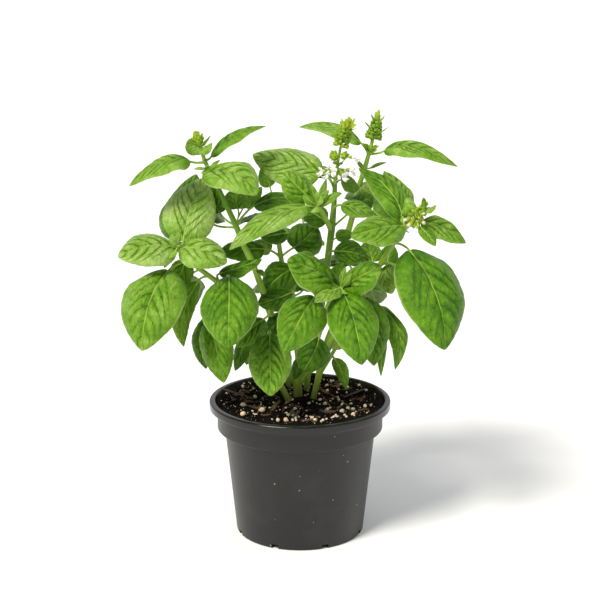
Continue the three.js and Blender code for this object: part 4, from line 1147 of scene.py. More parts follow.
def blade(rib, face, width, tone, seed):
    """A leaf blade: two grids (u along the rib, v across) and a rim that joins them.

    A point is rib(u) + side h v + up (h (0.3 |v| - 0.56 v^2) + h (pillows + wave + lumps) - groove), with h
    the half width there and the groove along the rib. Veins run where c, which is n (u - w) / (1 - 0.8 w) set
    wandering by noise, is whole, with w = 0.34 |v| + 0.45 v^2. The pillows between them rise as
    |sin(pi c)|^0.6. Both fade out towards the edge, and on young, pale and hanging leaves. A painted shade
    deepens the tone near the leaf's base, by 0.2 exp(-(u / 0.16)^2).
    """
    chord = rib[2] - rib[0]
    length = np.linalg.norm(chord)
    side = np.cross(face, chord / length)
    rows, columns = next((r, c) for r, c, least in BLADE_GRIDS if length >= least)
    own = np.random.default_rng(seed)
    even = np.linspace(0, 1, rows)
    first, last = BLADE_ENDS
    u = first + (last - first) * (even - END_CROWDING * np.sin(2 * np.pi * even))
    w = np.linspace(-1, 1, columns)
    u, v = np.meshgrid(u, np.sign(w) * np.abs(w) ** RIB_CROWDING, indexing="ij")
    half = half_width(width, length, u)
    out = np.abs(v)
    pairs = np.clip(round(length / VEIN_SPACING), *VEIN_PAIRS)
    sweep = VEIN_SLANT * out + VEIN_ARCH * out**2
    # The two halves' veins leave the rib out of step.
    step = VEIN_FIRST + own.uniform(0.1, 0.5) * (v > 0)
    vein = pairs * (u - sweep) / (1 - VEIN_CLOSE * sweep) - step
    halves = np.stack([u * length, 40 * (v > 0) + 4 * out], -1)
    vein = vein + VEIN_STRAY * rough(halves, STRAY_SIZE, seed + 300)
    vein = np.maximum(vein, -0.5)
    inner = np.clip((RELIEF_END - out) / RELIEF_FADE, 0, 1)
    inner = inner * inner * (3 - 2 * inner)
    clear = 1 - np.exp(-((out * half / RIB_CLEAR) ** 2))
    pillow = np.abs(np.sin(np.pi * vein)) ** PILLOW_ROUND * inner * clear
    groove = RIB_GROOVE * np.exp(-((out * half / RIB_GROOVE_WIDTH) ** 2)) * (1 - RIB_GROOVE_FADE * u)
    swing = own.uniform(0, 2 * np.pi, 2)
    wave = out**3 * np.sin(2 * np.pi * WAVES * u + np.where(v > 0, *swing))
    lump = rough(np.stack([u * length, v * half], -1) + 50 * own.random(2), LUMP_SIZE, seed)
    patchy = rough(np.stack([u * length, v * half], -1) + 50 * own.random(2), PATCH_SIZE, seed + 500)
    strength = min(1.0, width / GROWN_WIDTH) * (1 - YOUNG_SMOOTH * max(0, tone - YOUNG_TONE))
    hanging = max(0.0, -chord[2] / length)
    strength *= 1 - 0.5 * HANGING_SMOOTH * hanging
    crease = min(1.0, (length / GROWN_LENGTH) ** 1.5) * inner * (1 - TIP_SMOOTH * u)
    crease = crease * (CREASE_DEPTH + CREASE_PATCHES * patchy)
    crease *= 1 - HANGING_SMOOTH * hanging**2
    # Painted shade that deepens the tone near the blade's base, full on grown blades.
    shade = BASE_PAINTED_SHADE * np.exp(-((u / BASE_PAINTED_SHADE_REACH) ** 2)) * np.clip(length / GROWN_LENGTH, 0, 1) ** 2
    lift = half * (BLADE_RISE * out - BLADE_CURL * out**2) - groove
    lift = lift + half * strength * (PILLOW * pillow + WAVE * wave + LUMP * lump)
    # The teeth: one to every four rows, cut less deep where the blade is narrow.
    notch = (np.arange(rows)[:, None] % TEETH_ROWS) / TEETH_ROWS - 0.5
    teeth = np.sign(v) * TOOTH * notch * out**EDGE_POWER * np.clip(half / TOOTHED_HALF, 0, 1)
    reach = half * v + teeth * min(1, width / TOOTHED_WIDTH)
    spine, direction = bezier(*rib, u[:, 0])
    up = squared(face + 0 * direction, direction)
    middle_skin = spine[:, None] + reach[..., None] * side + lift[..., None] * up[:, None]
    thick = BLADE_EDGE / 2 + (BLADE_THICKNESS - BLADE_EDGE) / 2 * (1 - out**4)
    points, faces, faced = two_faced(middle_skin, thick[..., None] * up[:, None])
    smooth = np.arange(len(faces)) < faced
    # What the material reads: the flat blade in tenths of a metre, its tone less the painted shade at its
    # base, which side it is, the count c, the millimetres between two veins, how deep the relief is, the
    # margin, and the distance from the rib.
    flat = np.stack([u * length, v * half], -1).reshape(-1, 2) / 100 + own.random(2)
    marks = {
        "blade": np.tile(flat, (2, 1)),
        "tone": np.tile((tone / PALEST + own.uniform(-TONE_SPREAD, TONE_SPREAD) - shade).ravel(), 2),
        "underside": np.repeat([0.0, 1.0], rows * columns),
        "vein": np.tile(vein.ravel(), 2),
        "vein_gap": np.full(len(points), length / pairs * VEINED_SHARE),
        "crease": np.tile(np.clip(crease, 0, 1).ravel(), 2),
        "edge": np.tile((out**EDGE_POWER).ravel(), 2),
        "rib": np.tile((out * half / (RIB_NARROWING - u)).ravel(), 2),
    }
    return points, faces, marks, smooth


def gathered(blades):
    """Blades put together as one body, with which of its faces are smooth: all but those of the rims."""
    return *joined([part[:3] for part in blades]), np.concatenate([part[3] for part in blades])


# Living leaf: softly glossy above, paler and duller below, and light shines through it yellow-green.
leaf_tissue, tree, shader = finish(
    "basil leaf", {"Specular IOR Level": 0.5, "Specular Tint": linear(LEAF_SHEEN)}
)
tone, underside, vein, vein_gap, crease, edge, rib = (
    add(tree, "ShaderNodeAttribute", attribute_name=mark).outputs["Fac"]
    for mark in ("tone", "underside", "vein", "vein_gap", "crease", "edge", "rib")
)
flat = add(tree, "ShaderNodeUVMap", uv_map="blade").outputs["UV"]
# Each side vein is a thin pale line in a furrow darkened by painted shade: how far a point lies from it
# is had in millimetres.
nearest = add(tree, "ShaderNodeMath", {1: 0.5}, {0: vein}, operation="PINGPONG")
apart = add(tree, "ShaderNodeMath", links={0: nearest.outputs[0], 1: vein_gap}, operation="MULTIPLY")
furrow = add(
    tree,
    "ShaderNodeMapRange",
    {"From Min": 0.95, "From Max": 0.0},
    {"Value": apart.outputs[0]},
    interpolation_type="SMOOTHSTEP",
)
shaded_furrow_line = add(
    tree,
    "ShaderNodeMapRange",
    {"From Min": 0.55, "From Max": 0.2},
    {"Value": apart.outputs[0]},
    interpolation_type="SMOOTHSTEP",
)
vein_line = add(tree, "ShaderNodeMapRange", {"From Min": 0.3, "From Max": 0.1}, {"Value": apart.outputs[0]})
rib_line = add(tree, "ShaderNodeMapRange", {"From Min": 0.62, "From Max": 0.25}, {"Value": rib})
# Between two side veins the small ones run across like rungs, two to three millimetres apart.
across_leaf = add(tree, "ShaderNodeSeparateXYZ", links={0: flat})
rungs = add(
    tree, "ShaderNodeMath", {1: 100 / RUNG_SPACING}, {0: across_leaf.outputs["Y"]}, operation="MULTIPLY"
)
ladder = add(tree, "ShaderNodeCombineXYZ", links={"X": vein, "Y": rungs.outputs[0]})
net = add(
    tree, "ShaderNodeTexVoronoi", {"Scale": 1.0}, {"Vector": ladder.outputs[0]}, feature="DISTANCE_TO_EDGE"
)
net_line = add(
    tree, "ShaderNodeMapRange", {"From Min": 0.3, "From Max": 0.0}, {"Value": net.outputs["Distance"]}
)
netted = add(
    tree,
    "ShaderNodeMath",
    {1: 0.5},
    {0: net_line.outputs[0], 2: furrow.outputs[0]},
    operation="MULTIPLY_ADD",
)
sunken = add(tree, "ShaderNodeMath", links={0: netted.outputs[0], 1: crease}, operation="MULTIPLY")
# Painted shade along the furrows: the dark vein lines and the net of small veins, where the relief is deep.
painted_furrow_shade = add(
    tree,
    "ShaderNodeMath",
    {1: 0.4},
    {0: net_line.outputs[0], 2: shaded_furrow_line.outputs[0]},
    operation="MULTIPLY_ADD",
)
painted_furrow_shade = add(tree, "ShaderNodeMath", links={0: painted_furrow_shade.outputs[0], 1: crease}, operation="MULTIPLY")
# The green is a tone: clouds two centimetres across, mottling down to a millimetre (the UV map is in tenths
# of a metre), a painted light palest midway between two side veins, and a painted shade deepest in their
# furrows.
cloud = add(tree, "ShaderNodeTexNoise", {"Scale": 5.0, "Detail": 2.0}, {"Vector": flat})
mottle = add(tree, "ShaderNodeTexNoise", {"Scale": 22.0, "Detail": 6.0, "Roughness": 0.7}, {"Vector": flat})
# Painted light and shade between the veins: the tone rises midway between two side veins and falls next to
# them.
pillow_light_and_shade = add(tree, "ShaderNodeMath", {1: 0.5, 2: -0.09}, {0: nearest.outputs[0]}, operation="MULTIPLY_ADD")
pillow_light_and_shade = add(tree, "ShaderNodeMath", links={0: pillow_light_and_shade.outputs[0], 1: crease}, operation="MULTIPLY")
toned = tone
for part, share, level in [
    (cloud.outputs["Fac"], CLOUDING, -CLOUDING / 2),
    (mottle.outputs["Fac"], MOTTLING, -MOTTLING / 2),
    (pillow_light_and_shade.outputs[0], 1.0, 0.0),
    (painted_furrow_shade.outputs[0], -VEIN_PAINTED_SHADE, 0.0),
]:
    change = add(tree, "ShaderNodeMath", {1: share, 2: level}, {0: part}, operation="MULTIPLY_ADD")
    toned = add(tree, "ShaderNodeMath", links={0: toned, 1: change.outputs[0]}).outputs[0]
greens = add(tree, "ShaderNodeValToRGB", links={0: toned})
stops = greens.color_ramp.elements
stops[0].position, stops[0].color = 0.0, linear(LEAF_TONES[0.0])
stops[1].position, stops[1].color = 1.0, linear(LEAF_TONES[1.0])
for position, colour in list(LEAF_TONES.items())[1:-1]:
    stops.new(position).color = linear(colour)
# The veins and the rib are paler than the rest, and so is the margin, a line about a millimetre wide that
# is partly a painted highlight along the edge.
pale_vein = add(tree, "ShaderNodeMath", links={0: vein_line.outputs[0], 1: crease}, operation="MULTIPLY")
veined = add(
    tree, "ShaderNodeMath", links={0: pale_vein.outputs[0], 1: rib_line.outputs[0]}, operation="MAXIMUM"
)
pale_margin_and_highlight = add(tree, "ShaderNodeMapRange", {"From Min": 0.62, "To Max": 1.9}, {"Value": edge})
pale_lines = add(
    tree, "ShaderNodeMath", links={0: veined.outputs[0], 1: pale_margin_and_highlight.outputs[0]}, operation="MAXIMUM"
)
ribbed = add(tree, "ShaderNodeMath", {1: PALE_LINES}, {0: pale_lines.outputs[0]}, operation="MULTIPLY")
upper_colour = add(
    tree,
    "ShaderNodeMix",
    {7: linear(LEAF_RIB)},
    {0: ribbed.outputs[0], 6: greens.outputs[0]},
    data_type="RGBA",
)
under_part = add(tree, "ShaderNodeMath", {1: PALE_UNDERSIDE}, {0: underside}, operation="MULTIPLY")
leaf_colour = add(
    tree,
    "ShaderNodeMix",
    {7: linear(LEAF_UNDERSIDE)},
    {0: under_part.outputs[0], 6: upper_colour.outputs[2]},
    data_type="RGBA",
)
tree.links.new(leaf_colour.outputs[2], shader.inputs["Base Color"])
gloss = add(
    tree, "ShaderNodeMapRange", {"To Min": 0.2, "To Max": 0.45}, {"Value": mottle.outputs["Fac"]}
)
tree.links.new(gloss.outputs[0], shader.inputs["Roughness"])
# Veins are sunk in the upper face and stand out on the lower one; between them the skin is finely pebbled.
sunk = add(tree, "ShaderNodeMath", {1: 2.0, 2: -1.0}, {0: underside}, operation="MULTIPLY_ADD")
relief = add(tree, "ShaderNodeMath", links={0: sunken.outputs[0], 1: sunk.outputs[0]}, operation="MULTIPLY")
pebbles = add(tree, "ShaderNodeTexNoise", {"Scale": 34.0, "Detail": 5.0, "Roughness": 0.6}, {"Vector": flat})
skin = add(
    tree,
    "ShaderNodeMath",
    {1: 1.6},
    {0: pebbles.outputs["Fac"], 2: relief.outputs[0]},
    operation="MULTIPLY_ADD",
)
bump = add(tree, "ShaderNodeBump", {"Strength": 1.0, "Distance": 0.0012}, {"Height": skin.outputs[0]})
tree.links.new(bump.outputs[0], shader.inputs["Normal"])
glow = add(tree, "ShaderNodeBsdfTranslucent")
glow_colour = add(
    tree,
    "ShaderNodeMix",
    {0: 0.5, 7: linear(LEAF_GLOW)},
    {6: leaf_colour.outputs[2]},
    data_type="RGBA",
)
tree.links.new(glow_colour.outputs[2], glow.inputs["Color"])
lit = add(tree, "ShaderNodeMixShader", {0: TRANSLUCENCE}, {1: shader.outputs[0], 2: glow.outputs[0]})
tree.links.new(lit.outputs[0], tree.nodes["Material Output"].inputs["Surface"])

seed = 0
for body, stems in BODIES.items():
    made = []
    for stem in stems:
        for _, row, base, middle, tip, width, looks, tone in LEAVES[stem]:
            seed += 1
            _, _, rib, face = leaf_frame(stem, row, base, middle, tip, looks)
            made.append(blade(rib, face, width, tone, seed))
    points, faces, marks, smooth = gathered(made)
    blades = filled(f"blades_{body}", points, faces, leaf_tissue, marks, smooth)
    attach(blades, "root")
    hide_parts(f"stem_{body}")


# The flower spikes: square green axes that carry rings of calyces, each a five-toothed cup with a bud in it,
# above pointed bracts. On the centre spike the lowest ring is open, with white two-lipped flowers. The left
# spike is still in bud, between broad leafy bracts.

# Each ring: its share of the axis, what it holds, how many, how far they stand off, their length and width,
# how steeply they rise and how far the ring is turned, both in degrees, and their tone from 0 to 9.
# Each single one: what it is, its foot and its tip as they are seen, its width, its face's turn and rise,
# and its tone. Each leafy bract is given in the same way, without a word for what it is.
SPIKES = {
    "left": {
        "stem": "main",
        "axis": [[201.5, 149, 10], [199, 142, 10], [196, 134.5, 10]],
        "radius": 1.7,
        "rings": [
            [0.4, "bract", 6, 2, 6, 4, 25, 10, 4],
            [0.5, "bract", 7, 2, 6.5, 4, 35, 60, 5],
            [0.58, "bract", 7, 2, 6.5, 4, 40, 20, 6],
            [0.66, "bract", 7, 1.8, 6, 3.8, 42, 50, 7],
            [0.74, "bract", 6, 1.6, 6, 3.6, 46, 10, 7],
            [0.82, "bract", 6, 1.4, 5, 3.2, 50, 40, 8],
            [0.9, "bract", 5, 1, 4.5, 3, 56, 0, 8],
            [0.98, "bract", 4, 0.6, 3.5, 2.5, 66, 30, 9],
        ],
        "single": [
            ["bract", [203, 146, 6], [208.6, 134, 2], 3, [60, 10], 7],
            ["bract", [201, 144, 4], [201.4, 132.5, 0], 3.6, [20, 30], 8],
        ],
        "leafy": [
            [[201, 149.5, 12], [186.5, 142.5, 16], 15, [-20, 30], 7],
            [[198.5, 152.5, 14], [212, 143.2, 21], 9, [12, 40], 5.6],
            [[202, 151, 6], [196, 143, -6], 12, [150, 20], 5],
        ],
    },
    "centre": {
        "stem": "centre",
        "axis": [[337, 168, -8], [339, 155, -8], [343, 138, -8], [347.5, 125, -8]],
        "radius": 1.5,
        "rings": [
            [0.17, "flower", 4, 2.6, 4.5, 3.2, -5, 45, 5],
            [0.18, "bud", 6, 2.4, 4.5, 3.2, 10, 15, 5],
            [0.2, "bract", 2, 0.5, 8, 4, 10, 0, 5],
            [0.31, "bud", 4, 1.5, 4, 2.6, 20, 20, 5],
            [0.45, "bract", 4, 0.5, 5, 2.6, 10, 0, 4],
            [0.655, "bud", 8, 2.8, 5.4, 3.6, -5, 10, 6],
            [0.68, "bud", 8, 2.8, 5, 3.4, 15, 30, 5],
            [0.7, "bract", 6, 1.6, 7.5, 3, 20, 45, 7],
            [0.745, "bud", 9, 2.4, 5, 3.2, 5, 20, 4],
            [0.77, "bract", 6, 2.4, 7, 2.6, 14, 0, 7],
            [0.79, "bud", 9, 2.6, 5, 3.2, 12, 0, 5],
            [0.81, "bract", 7, 2.4, 7.5, 3, 18, 25, 7],
            [0.83, "bud", 9, 2.4, 5, 3.2, 18, 20, 4],
            [0.865, "bud", 9, 2.2, 5, 3, 26, 5, 5],
            [0.88, "bract", 7, 2.4, 8, 3.2, 28, 50, 7],
            [0.905, "bud", 8, 2.2, 4.6, 3, 34, 30, 5],
            [0.93, "bract", 7, 2, 7.5, 3.4, 40, 10, 7],
            [0.95, "bud", 6, 1.8, 4.5, 2.8, 45, 20, 5],
            [0.97, "bract", 7, 1.6, 7, 3.4, 50, 40, 8],
            [1, "bract", 7, 1.1, 6.5, 3, 60, 0, 8],
        ],
        "single": [
            ["flower", [336, 168, -2], [323.5, 171, 8], 3.4, [-10, 60], 5],
            ["flower", [337, 168, 2], [334.5, 171, 14], 3.4, [0, 60], 5],
            ["flower", [338, 168, 2], [343, 174.5, 12], 3.4, [0, 60], 5],
            ["flower", [338, 167, -2], [350, 170.5, 4], 3.4, [10, 60], 5],
            ["flower", [340, 155, -6], [352.5, 157.5, -4], 2.8, [10, 60], 5],
            ["bud", [337, 156, -6], [328.6, 156, -4], 3.6, [0, 30], 6],
            ["bud", [337, 155, -8], [330, 151.5, -8], 3.6, [0, 30], 5],
            ["bud", [337, 156, -4], [331, 159.5, 0], 3.4, [0, 30], 5],
            ["bud", [337, 155, -10], [334, 150.6, -12], 3.4, [0, 30], 6],
            ["bud", [337, 156, -2], [334.5, 155, 4], 3.6, [0, 30], 7],
            ["bud", [340, 155, -6], [348, 152.5, -6], 3.4, [0, 30], 6],
            ["bud", [341, 156, -3], [347, 156.5, 2], 3.4, [0, 30], 6],
            ["bud", [341, 156, -8], [350, 155.5, -10], 3.4, [0, 30], 5],
            ["bract", [337, 158, -4], [333.5, 162, -2], 2.4, [0, 30], 4],
            ["bract", [341, 157, -4], [345.5, 160.5, -2], 2.4, [0, 30], 4],
            ["bract", [342, 136, 2], [334.5, 129, 4], 1.8, [-30, 30], 5],
            ["bract", [344, 129, 2], [342, 117, 2], 2.6, [-20, 10], 7],
            ["bract", [347, 127, 2], [347.3, 117.5, 3], 2.4, [0, 20], 8],
            ["bract", [351, 127, 0], [354.5, 116.8, 0], 2.6, [20, 20], 9],
            ["bract", [351, 128, 0], [357.5, 124, 4], 3, [20, 30], 7],
        ],
    },
    "back": {
        "stem": "back",
        "axis": [[375, 130, -39], [378, 113, -39]],
        "radius": 1.5,
        "rings": [
            [0.3, "bud", 8, 2, 5.8, 4.6, 2, 10, 4],
            [0.34, "bract", 5, 1.5, 8, 5, 12, 35, 5],
            [0.38, "bud", 8, 1.8, 5, 3.6, 15, 20, 4],
            [0.48, "bud", 8, 1.8, 5, 3.6, 12, 0, 4],
            [0.54, "bract", 4, 1, 6.5, 3.4, 25, 20, 4],
            [0.58, "bud", 7, 1.6, 4.6, 3.4, 20, 30, 4],
            [0.66, "bud", 7, 1.4, 4.4, 3.2, 28, 5, 4],
            [0.7, "bract", 5, 0.9, 6.5, 4.2, 50, 40, 5],
            [0.76, "bract", 6, 0.8, 6.5, 4.2, 58, 10, 6],
            [0.82, "bract", 6, 0.7, 6, 4, 62, 40, 7],
            [0.88, "bract", 5, 0.5, 5.5, 3.8, 68, 10, 8],
            [0.94, "bract", 4, 0.3, 4.5, 3.2, 76, 40, 9],
        ],
        "single": [
            ["bract", [373, 131, -36], [362.6, 120.8, -32], 2, [-20, 40], 3],
            ["bract", [375, 122, -36], [369.4, 112.6, -34], 1.8, [-20, 40], 3],
            ["bract", [378, 123, -36], [386.2, 115.6, -34], 1.8, [20, 40], 3],
            ["bract", [378, 134, -36], [390.8, 128.2, -32], 2.2, [20, 60], 3],
            ["bract", [368, 150, -39], [361, 143.5, -37], 4.4, [-20, 50], 4],
            ["bract", [367, 150, -38], [364, 142.5, -34], 4, [10, 30], 5],
            ["bract", [368, 150, -37], [361.5, 147, -32], 4.2, [0, 50], 3],
            ["bract", [368, 150, -41], [367, 143.5, -42], 4, [0, 20], 4],
            ["bract", [367, 151, -36], [364, 148, -31], 3.4, [0, 40], 4],
            ["bract", [371, 151, -38], [377.5, 145, -38], 4, [0, 50], 4],
            ["bract", [371, 151, -37], [381, 147, -36], 4.2, [0, 60], 5],
            ["bract", [371, 152, -36], [378, 150.5, -32], 4, [0, 40], 3],
            ["bract", [370, 151, -39], [375, 148, -34], 3.6, [0, 30], 4],
        ],
    },
    "right": {
        "stem": "right",
        "axis": [[420, 213, 45], [425, 206, 47]],
        "radius": 1.6,
        "rings": [
            [0.06, "bud", 7, 3.5, 4.5, 3, 5, 10, 6],
            [0.14, "bract", 4, 1.5, 9, 3.5, 12, 40, 5],
            [0.3, "bud", 7, 2.6, 4.2, 3, 15, 30, 6],
            [0.36, "bract", 4, 1, 8, 3, 30, 0, 5],
            [0.5, "bud", 6, 2, 4.2, 3, 25, 10, 5],
            [0.66, "bud", 5, 1.5, 4, 2.8, 35, 40, 6],
            [0.7, "bract", 3, 1, 7, 3, 40, 0, 6],
            [0.95, "bract", 5, 0.4, 4.5, 3, 58, 0, 7],
        ],
        "single": [
            ["bud", [416, 214, 50], [412, 209.5, 52], 2.8, [0, 20], 7],
            ["bud", [414, 219, 50], [410.5, 222.5, 56], 3, [0, 20], 7],
            ["bud", [415, 222, 50], [413.3, 228, 56], 3, [0, 20], 6],
            ["bud", [418, 222, 50], [418, 229, 54], 3, [0, 20], 6],
            ["bud", [418, 217, 52], [421, 219.5, 58], 3, [0, 20], 8],
            ["white bud", [411, 219, 50], [404.8, 220, 56], 3.2, [0, 20], 9],
            ["white bud", [413, 221, 52], [408.3, 225.6, 58], 3.6, [0, 20], 9],
            ["white bud", [419, 219, 50], [424, 223, 56], 3.5, [0, 20], 9],
            ["white bud", [420, 215, 52], [424, 213.5, 58], 2.4, [0, 20], 9],
        ],
        "leafy": [
            [[424, 211, 50], [423.6, 197.6, 55], 5, [-10, 10], 5],
            [[425.5, 212, 52], [435.9, 204.6, 58], 5.4, [10, 45], 7],
        ],
    },
}
SPIKE_TAPER = 0.5
SPIKE_ROOT = 1.5
SPIKE_NECK = 4
AXIS_SIDES = 12
AXIS_TONE = 0.6
AXIS_STEPS = 8
STALK_SIDES = 6
STALK_RADII = (0.5, 0.45, 0.4)
CUP_SIDES = 10
CALYX_TONES = {0.0: "#3c6612", 0.4: "#76a028", 0.65: "#94b42c", 0.85: "#9bb02a", 1.0: "#aabb34"}
COROLLA_WHITE = "#f6f3ec"
COROLLA_BLUSH = "#e3d2b2"
TUBE_LENGTH = 3
TUBE_RADII = (0.8, 1.0, 1.5)
TUBE_SIDES = 8
LIP_LENGTH = 5.4
LOBE_WIDTH = 3.8
LOBE_TURNS = (-38, 0, 38)
LOWER_LIP_WIDTH = 4.6
STAMENS = 4
STAMEN_LENGTHS = (5, 7)
STAMEN_RADII = (0.2, 0.2, 0.2, 0.2, 0.45)
STAMEN_SIDES = 5
COROLLA_SEAT = 0.7
OPEN_CALYX = 4.5
BUD_TEETH = 0.25
WHITE_BUD_LENGTH = 0.6
WHITE_BUD_WIDTH = 0.85
WHITE_BUD_SEAT = 0.55
WHITE_BUD_TONE = 0.5
BRACT_BEND = 0.3
BRACT_CURVES = (0.25, 0.7)
BRACT_CUP = 0.35
# How far chance moves things: a place in its ring and a part's lean in degrees, its size and its tone.
RING_SWAY = 12
SWAY = 8
FLORET_SIZES = (0.85, 1.12)
TONE_SWAY = 0.8
PETAL_HALF_THICKNESS = 0.12
UP = np.array([0.0, 0.0, 1.0])


def petal(length, width, bend, cup, rows=7, columns=5):
    """A small cupped blade along +Z: it curves by bend radians towards +Y, as z = sin(b u) / b and
    y = (1 - cos(b u)) / b, and its edges rise by cup times v^2."""
    u, v = np.meshgrid(np.linspace(0, 1, rows), np.linspace(-1, 1, columns), indexing="ij")
    half = half_width(width, length, np.clip(u, 0.05, 0.985))
    angle = bend * u
    up = np.stack([0 * u, np.cos(angle), -np.sin(angle)], -1)
    spine = np.stack([0 * u, 1 - np.cos(angle), np.sin(angle)], -1) * length / bend
    across = np.stack([-half * v, 0 * u, 0 * u], -1)
    middle_skin = spine + across + up * (cup * half * v**2)[..., None]
    points, faces, _ = two_faced(middle_skin, up * PETAL_HALF_THICKNESS)
    # The columns run towards -X here, so each triangle is turned round to face outwards.
    return points, faces[:, ::-1]


def cup_of(length, width, teeth=1.0):
    """A calyx with its bud: a closed cup along +Z whose mouth runs out in five teeth, and a round bud in it.
    At each ring radius and height change with cos 5a, times teeth, which is 0 for a mouth with none. The
    ring after the mouth is the cup's inside, and the last two are the bud."""
    z = np.array([0.02, 0.2, 0.5, 0.74, 0.88, 0.66, 0.74, 0.86])
    wide = np.array([0.26, 0.72, 1.0, 0.94, 1.02, 0.6, 0.5, 0.26])
    swell = np.array([0, 0.04, 0.08, 0.12, 0.15, 0, 0, 0]) * teeth
    tooth = np.array([0, 0, 0, 0.02, 0.1, 0, 0, 0]) * teeth
    angle = np.linspace(0, 2 * np.pi, CUP_SIDES, endpoint=False)
    five = np.cos(5 * angle)
    radius = width / 2 * (wide[:, None] + swell[:, None] * five)
    height = (z[:, None] + tooth[:, None] * five) * length
    rings = np.stack([radius * np.cos(angle), radius * np.sin(angle), height], -1)
    return skinned(rings, [0, 0, 0], [0, 0, 0.9 * length])


def stood(points, foot, along, up):
    """Points turned from +Z to along and from +Y as near to up as that leaves, and set on their foot."""
    up = squared(up, along)
    return points @ np.stack([np.cross(up, along), up, along]) + foot


def corolla(foot, along, up, own):
    """A white two-lipped flower: a flared tube, an upper lip of three lobes, a spoon-shaped lower lip and
    four stamens."""
    down = -squared(up, along)
    mouth = foot + along * TUBE_LENGTH
    tube = np.stack([foot, foot + along * (TUBE_LENGTH / 2), mouth])
    parts = [limb(tube, np.array(TUBE_RADII), up, TUBE_SIDES)]
    for turn in LOBE_TURNS:
        lean = math.radians(turn + own.uniform(-SWAY, SWAY))
        fan = squared(-down, along) * math.cos(lean) + np.cross(up, along) * math.sin(lean)
        shape, faces = petal(LIP_LENGTH, LOBE_WIDTH, bend=1.1, cup=0.2)
        parts.append((stood(shape, mouth, unit(along + fan * 0.5), fan), faces))
    shape, faces = petal(LIP_LENGTH + 1, LOWER_LIP_WIDTH, bend=1.2, cup=0.35)
    parts.append((stood(shape, mouth, unit(along + down * 0.3), down), faces))
    for k in range(STAMENS):
        sway = np.cross(up, along) * (k - (STAMENS - 1) / 2) * 0.16
        end = mouth + unit(along + down * 0.25 + sway) * own.uniform(*STAMEN_LENGTHS)
        bend = mouth + along * 3 + down * 1.4
        path, _ = bezier(mouth - along, bend, end, np.linspace(0, 1, len(STAMEN_RADII)))
        parts.append(limb(path, np.array(STAMEN_RADII), up, STAMEN_SIDES))
    return parts


def floret(kind, foot, along, up, length, width, tone, own):
    """What grows at one place of a ring or on its own: green parts and white parts, each given as
    (points, faces, tone)."""
    green, white = [], []
    if kind == "bract":
        shape, faces = petal(length, width, own.uniform(*BRACT_CURVES), BRACT_CUP)
        green.append((stood(shape, foot, along, up), faces, tone))
    else:
        shape, faces = cup_of(length, width)
        green.append((stood(shape, foot, along, up), faces, tone))
    if kind == "flower":
        for shape, faces in corolla(foot + along * length * COROLLA_SEAT, along, up, own):
            white.append((shape, faces, 0.0))
    if kind == "white bud":
        shape, faces = cup_of(length * WHITE_BUD_LENGTH, width * WHITE_BUD_WIDTH, BUD_TEETH)
        seat = foot + along * length * WHITE_BUD_SEAT
        white.append((stood(shape, seat, along, up), faces, WHITE_BUD_TONE))
    return green, white


def spike(plan, seed):
    """A spike's green parts and white parts: its axis, its rings and what stands on it singly."""
    own = np.random.default_rng(seed)
    places, stem_radii, _ = stem_knots(plan["stem"])
    last = len(places) - 1
    before, tip = spline(places, np.array([last - 0.02, last]))
    knots = np.concatenate([[tip], seen(plan["axis"])])
    share = np.linspace(0, 1, AXIS_STEPS * len(knots))
    path = spline(knots, share * (len(knots) - 1))
    gone = np.linalg.norm(path - tip, axis=1)
    radii = plan["radius"] * (1 - SPIKE_TAPER * share)
    radii = radii + (stem_radii[-1] - radii[0]) * np.exp(-gone / SPIKE_NECK)
    path = np.concatenate([[tip + unit(before - tip) * SPIKE_ROOT], path])
    radii = np.concatenate([radii[:1], radii])
    points, faces = limb(path, radii, TO_VIEWER, AXIS_SIDES, STEM_EDGES)
    green, white = [(points, faces, AXIS_TONE)], []
    for share, kind, count, stand, length, width, rise, turn, tone in plan["rings"]:
        here, ahead = spline(knots, np.array([share - 0.02, share]) * (len(knots) - 1))
        up = unit(ahead - here)
        side = squared(np.array([1.0, 0.0, 0.0]), up)
        front = np.cross(up, side)
        for k in range(count):
            angle = math.radians(turn + 360 * k / count + own.uniform(-RING_SWAY, RING_SWAY))
            lean = math.radians(rise + own.uniform(-SWAY, SWAY))
            out = side * math.cos(angle) + front * math.sin(angle)
            along = out * math.cos(lean) + up * math.sin(lean)
            size = own.uniform(*FLORET_SIZES)
            begin = ahead + along * stand
            if stand > 1:
                run = np.stack([ahead, begin, begin + along * 0.4])
                stalk = limb(run, np.array(STALK_RADII), up, STALK_SIDES)
                green.append((*stalk, tone / PALEST))
            shade = min(1, max(0, (tone + own.uniform(-TONE_SWAY, TONE_SWAY)) / PALEST))
            parts = floret(kind, begin, along, up, length * size, width * size, shade, own)
            green += parts[0]
            white += parts[1]
    for kind, begin, end, width, looks, tone in plan["single"]:
        begin, end = seen([begin, end])
        along = unit(end - begin)
        length = np.linalg.norm(end - begin)
        if kind == "flower":
            begin, length = end - along * OPEN_CALYX, OPEN_CALYX
            run = np.stack([seen(plan["axis"][0]), begin, begin + along])
            green.append((*limb(run, np.full(3, STALK_RADII[0]), UP, STALK_SIDES), tone / PALEST))
        parts = floret(kind, begin, along, facing(looks, along), length, width, tone / PALEST, own)
        green += parts[0]
        white += parts[1]
    return green, white


def leafy_bract(plan, seed):
    """A broad bract at a spike's foot: a small blade whose rib bends towards its face."""
    begin, end, width, looks, tone = plan
    begin, end = seen([begin, end])
    chord = end - begin
    face = facing(looks, unit(chord))
    bend = (begin + end) / 2 - face * BRACT_BEND * np.linalg.norm(chord)
    return blade((begin, bend, end), face, width, tone, seed)


def toned(parts):
    """Parts given as (points, faces, tone) joined as one, each point marked with its tone."""
    return joined([(points, faces, {"tone": np.full(len(points), tone)}) for points, faces, tone in parts])


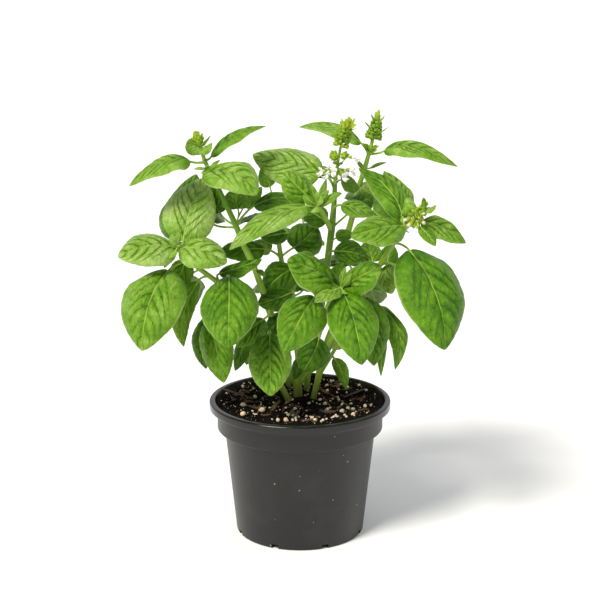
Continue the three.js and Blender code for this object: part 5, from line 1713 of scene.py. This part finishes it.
# Downy calyxes: matt yellow-green, mottled every two millimetres by their short hairs.
calyx_green, tree, shader = finish("downy basil calyx", {"Roughness": 0.62, "Specular IOR Level": 0.3})
place = add(tree, "ShaderNodeTexCoord").outputs["Object"]
tone = add(tree, "ShaderNodeAttribute", attribute_name="tone")
down = add(tree, "ShaderNodeTexNoise", {"Scale": 500.0, "Detail": 3.0}, {"Vector": place})
varied = add(tree, "ShaderNodeMath", {1: 0.8, 2: -0.4}, {0: down.outputs["Fac"]}, operation="MULTIPLY_ADD")
varied = add(tree, "ShaderNodeMath", links={0: tone.outputs["Fac"], 1: varied.outputs[0]}, use_clamp=True)
greens = add(tree, "ShaderNodeValToRGB", links={0: varied.outputs[0]})
stops = greens.color_ramp.elements
stops[0].position, stops[0].color = 0.0, linear(CALYX_TONES[0.0])
stops[1].position, stops[1].color = 1.0, linear(CALYX_TONES[1.0])
for position, colour in list(CALYX_TONES.items())[1:-1]:
    stops.new(position).color = linear(colour)
tree.links.new(greens.outputs[0], shader.inputs["Base Color"])
bump = add(tree, "ShaderNodeBump", {"Strength": 0.5, "Distance": 0.0003}, {"Height": down.outputs["Fac"]})
tree.links.new(bump.outputs[0], shader.inputs["Normal"])

# Thin petals: matt white where they are open, cream where they are still folded in the bud.
white_corolla, tree, shader = finish("white basil corolla", {"Roughness": 0.55, "Specular IOR Level": 0.3})
tone = add(tree, "ShaderNodeAttribute", attribute_name="tone")
blushed = add(
    tree,
    "ShaderNodeMix",
    {6: linear(COROLLA_WHITE), 7: linear(COROLLA_BLUSH)},
    {0: tone.outputs["Fac"]},
    data_type="RGBA",
)
tree.links.new(blushed.outputs[2], shader.inputs["Base Color"])

for seed, (name, plan) in enumerate(SPIKES.items()):
    green, white = spike(plan, 100 + seed)
    points, faces, marks = toned(green)
    pieces = [filled(f"spike_{name}_green", points, faces, calyx_green, marks)]
    if white:
        points, faces, marks = toned(white)
        pieces.append(filled(f"spike_{name}_flowers", points, faces, white_corolla, marks))
    if "leafy" in plan:
        made = [leafy_bract(bract, 200 + 10 * seed + k) for k, bract in enumerate(plan["leafy"])]
        points, faces, marks, smooth = gathered(made)
        pieces.append(filled(f"spike_{name}_bracts", points, faces, leaf_tissue, marks, smooth))
    for piece in pieces:
        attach(piece, "root")
        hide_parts(f"spike_{name}")
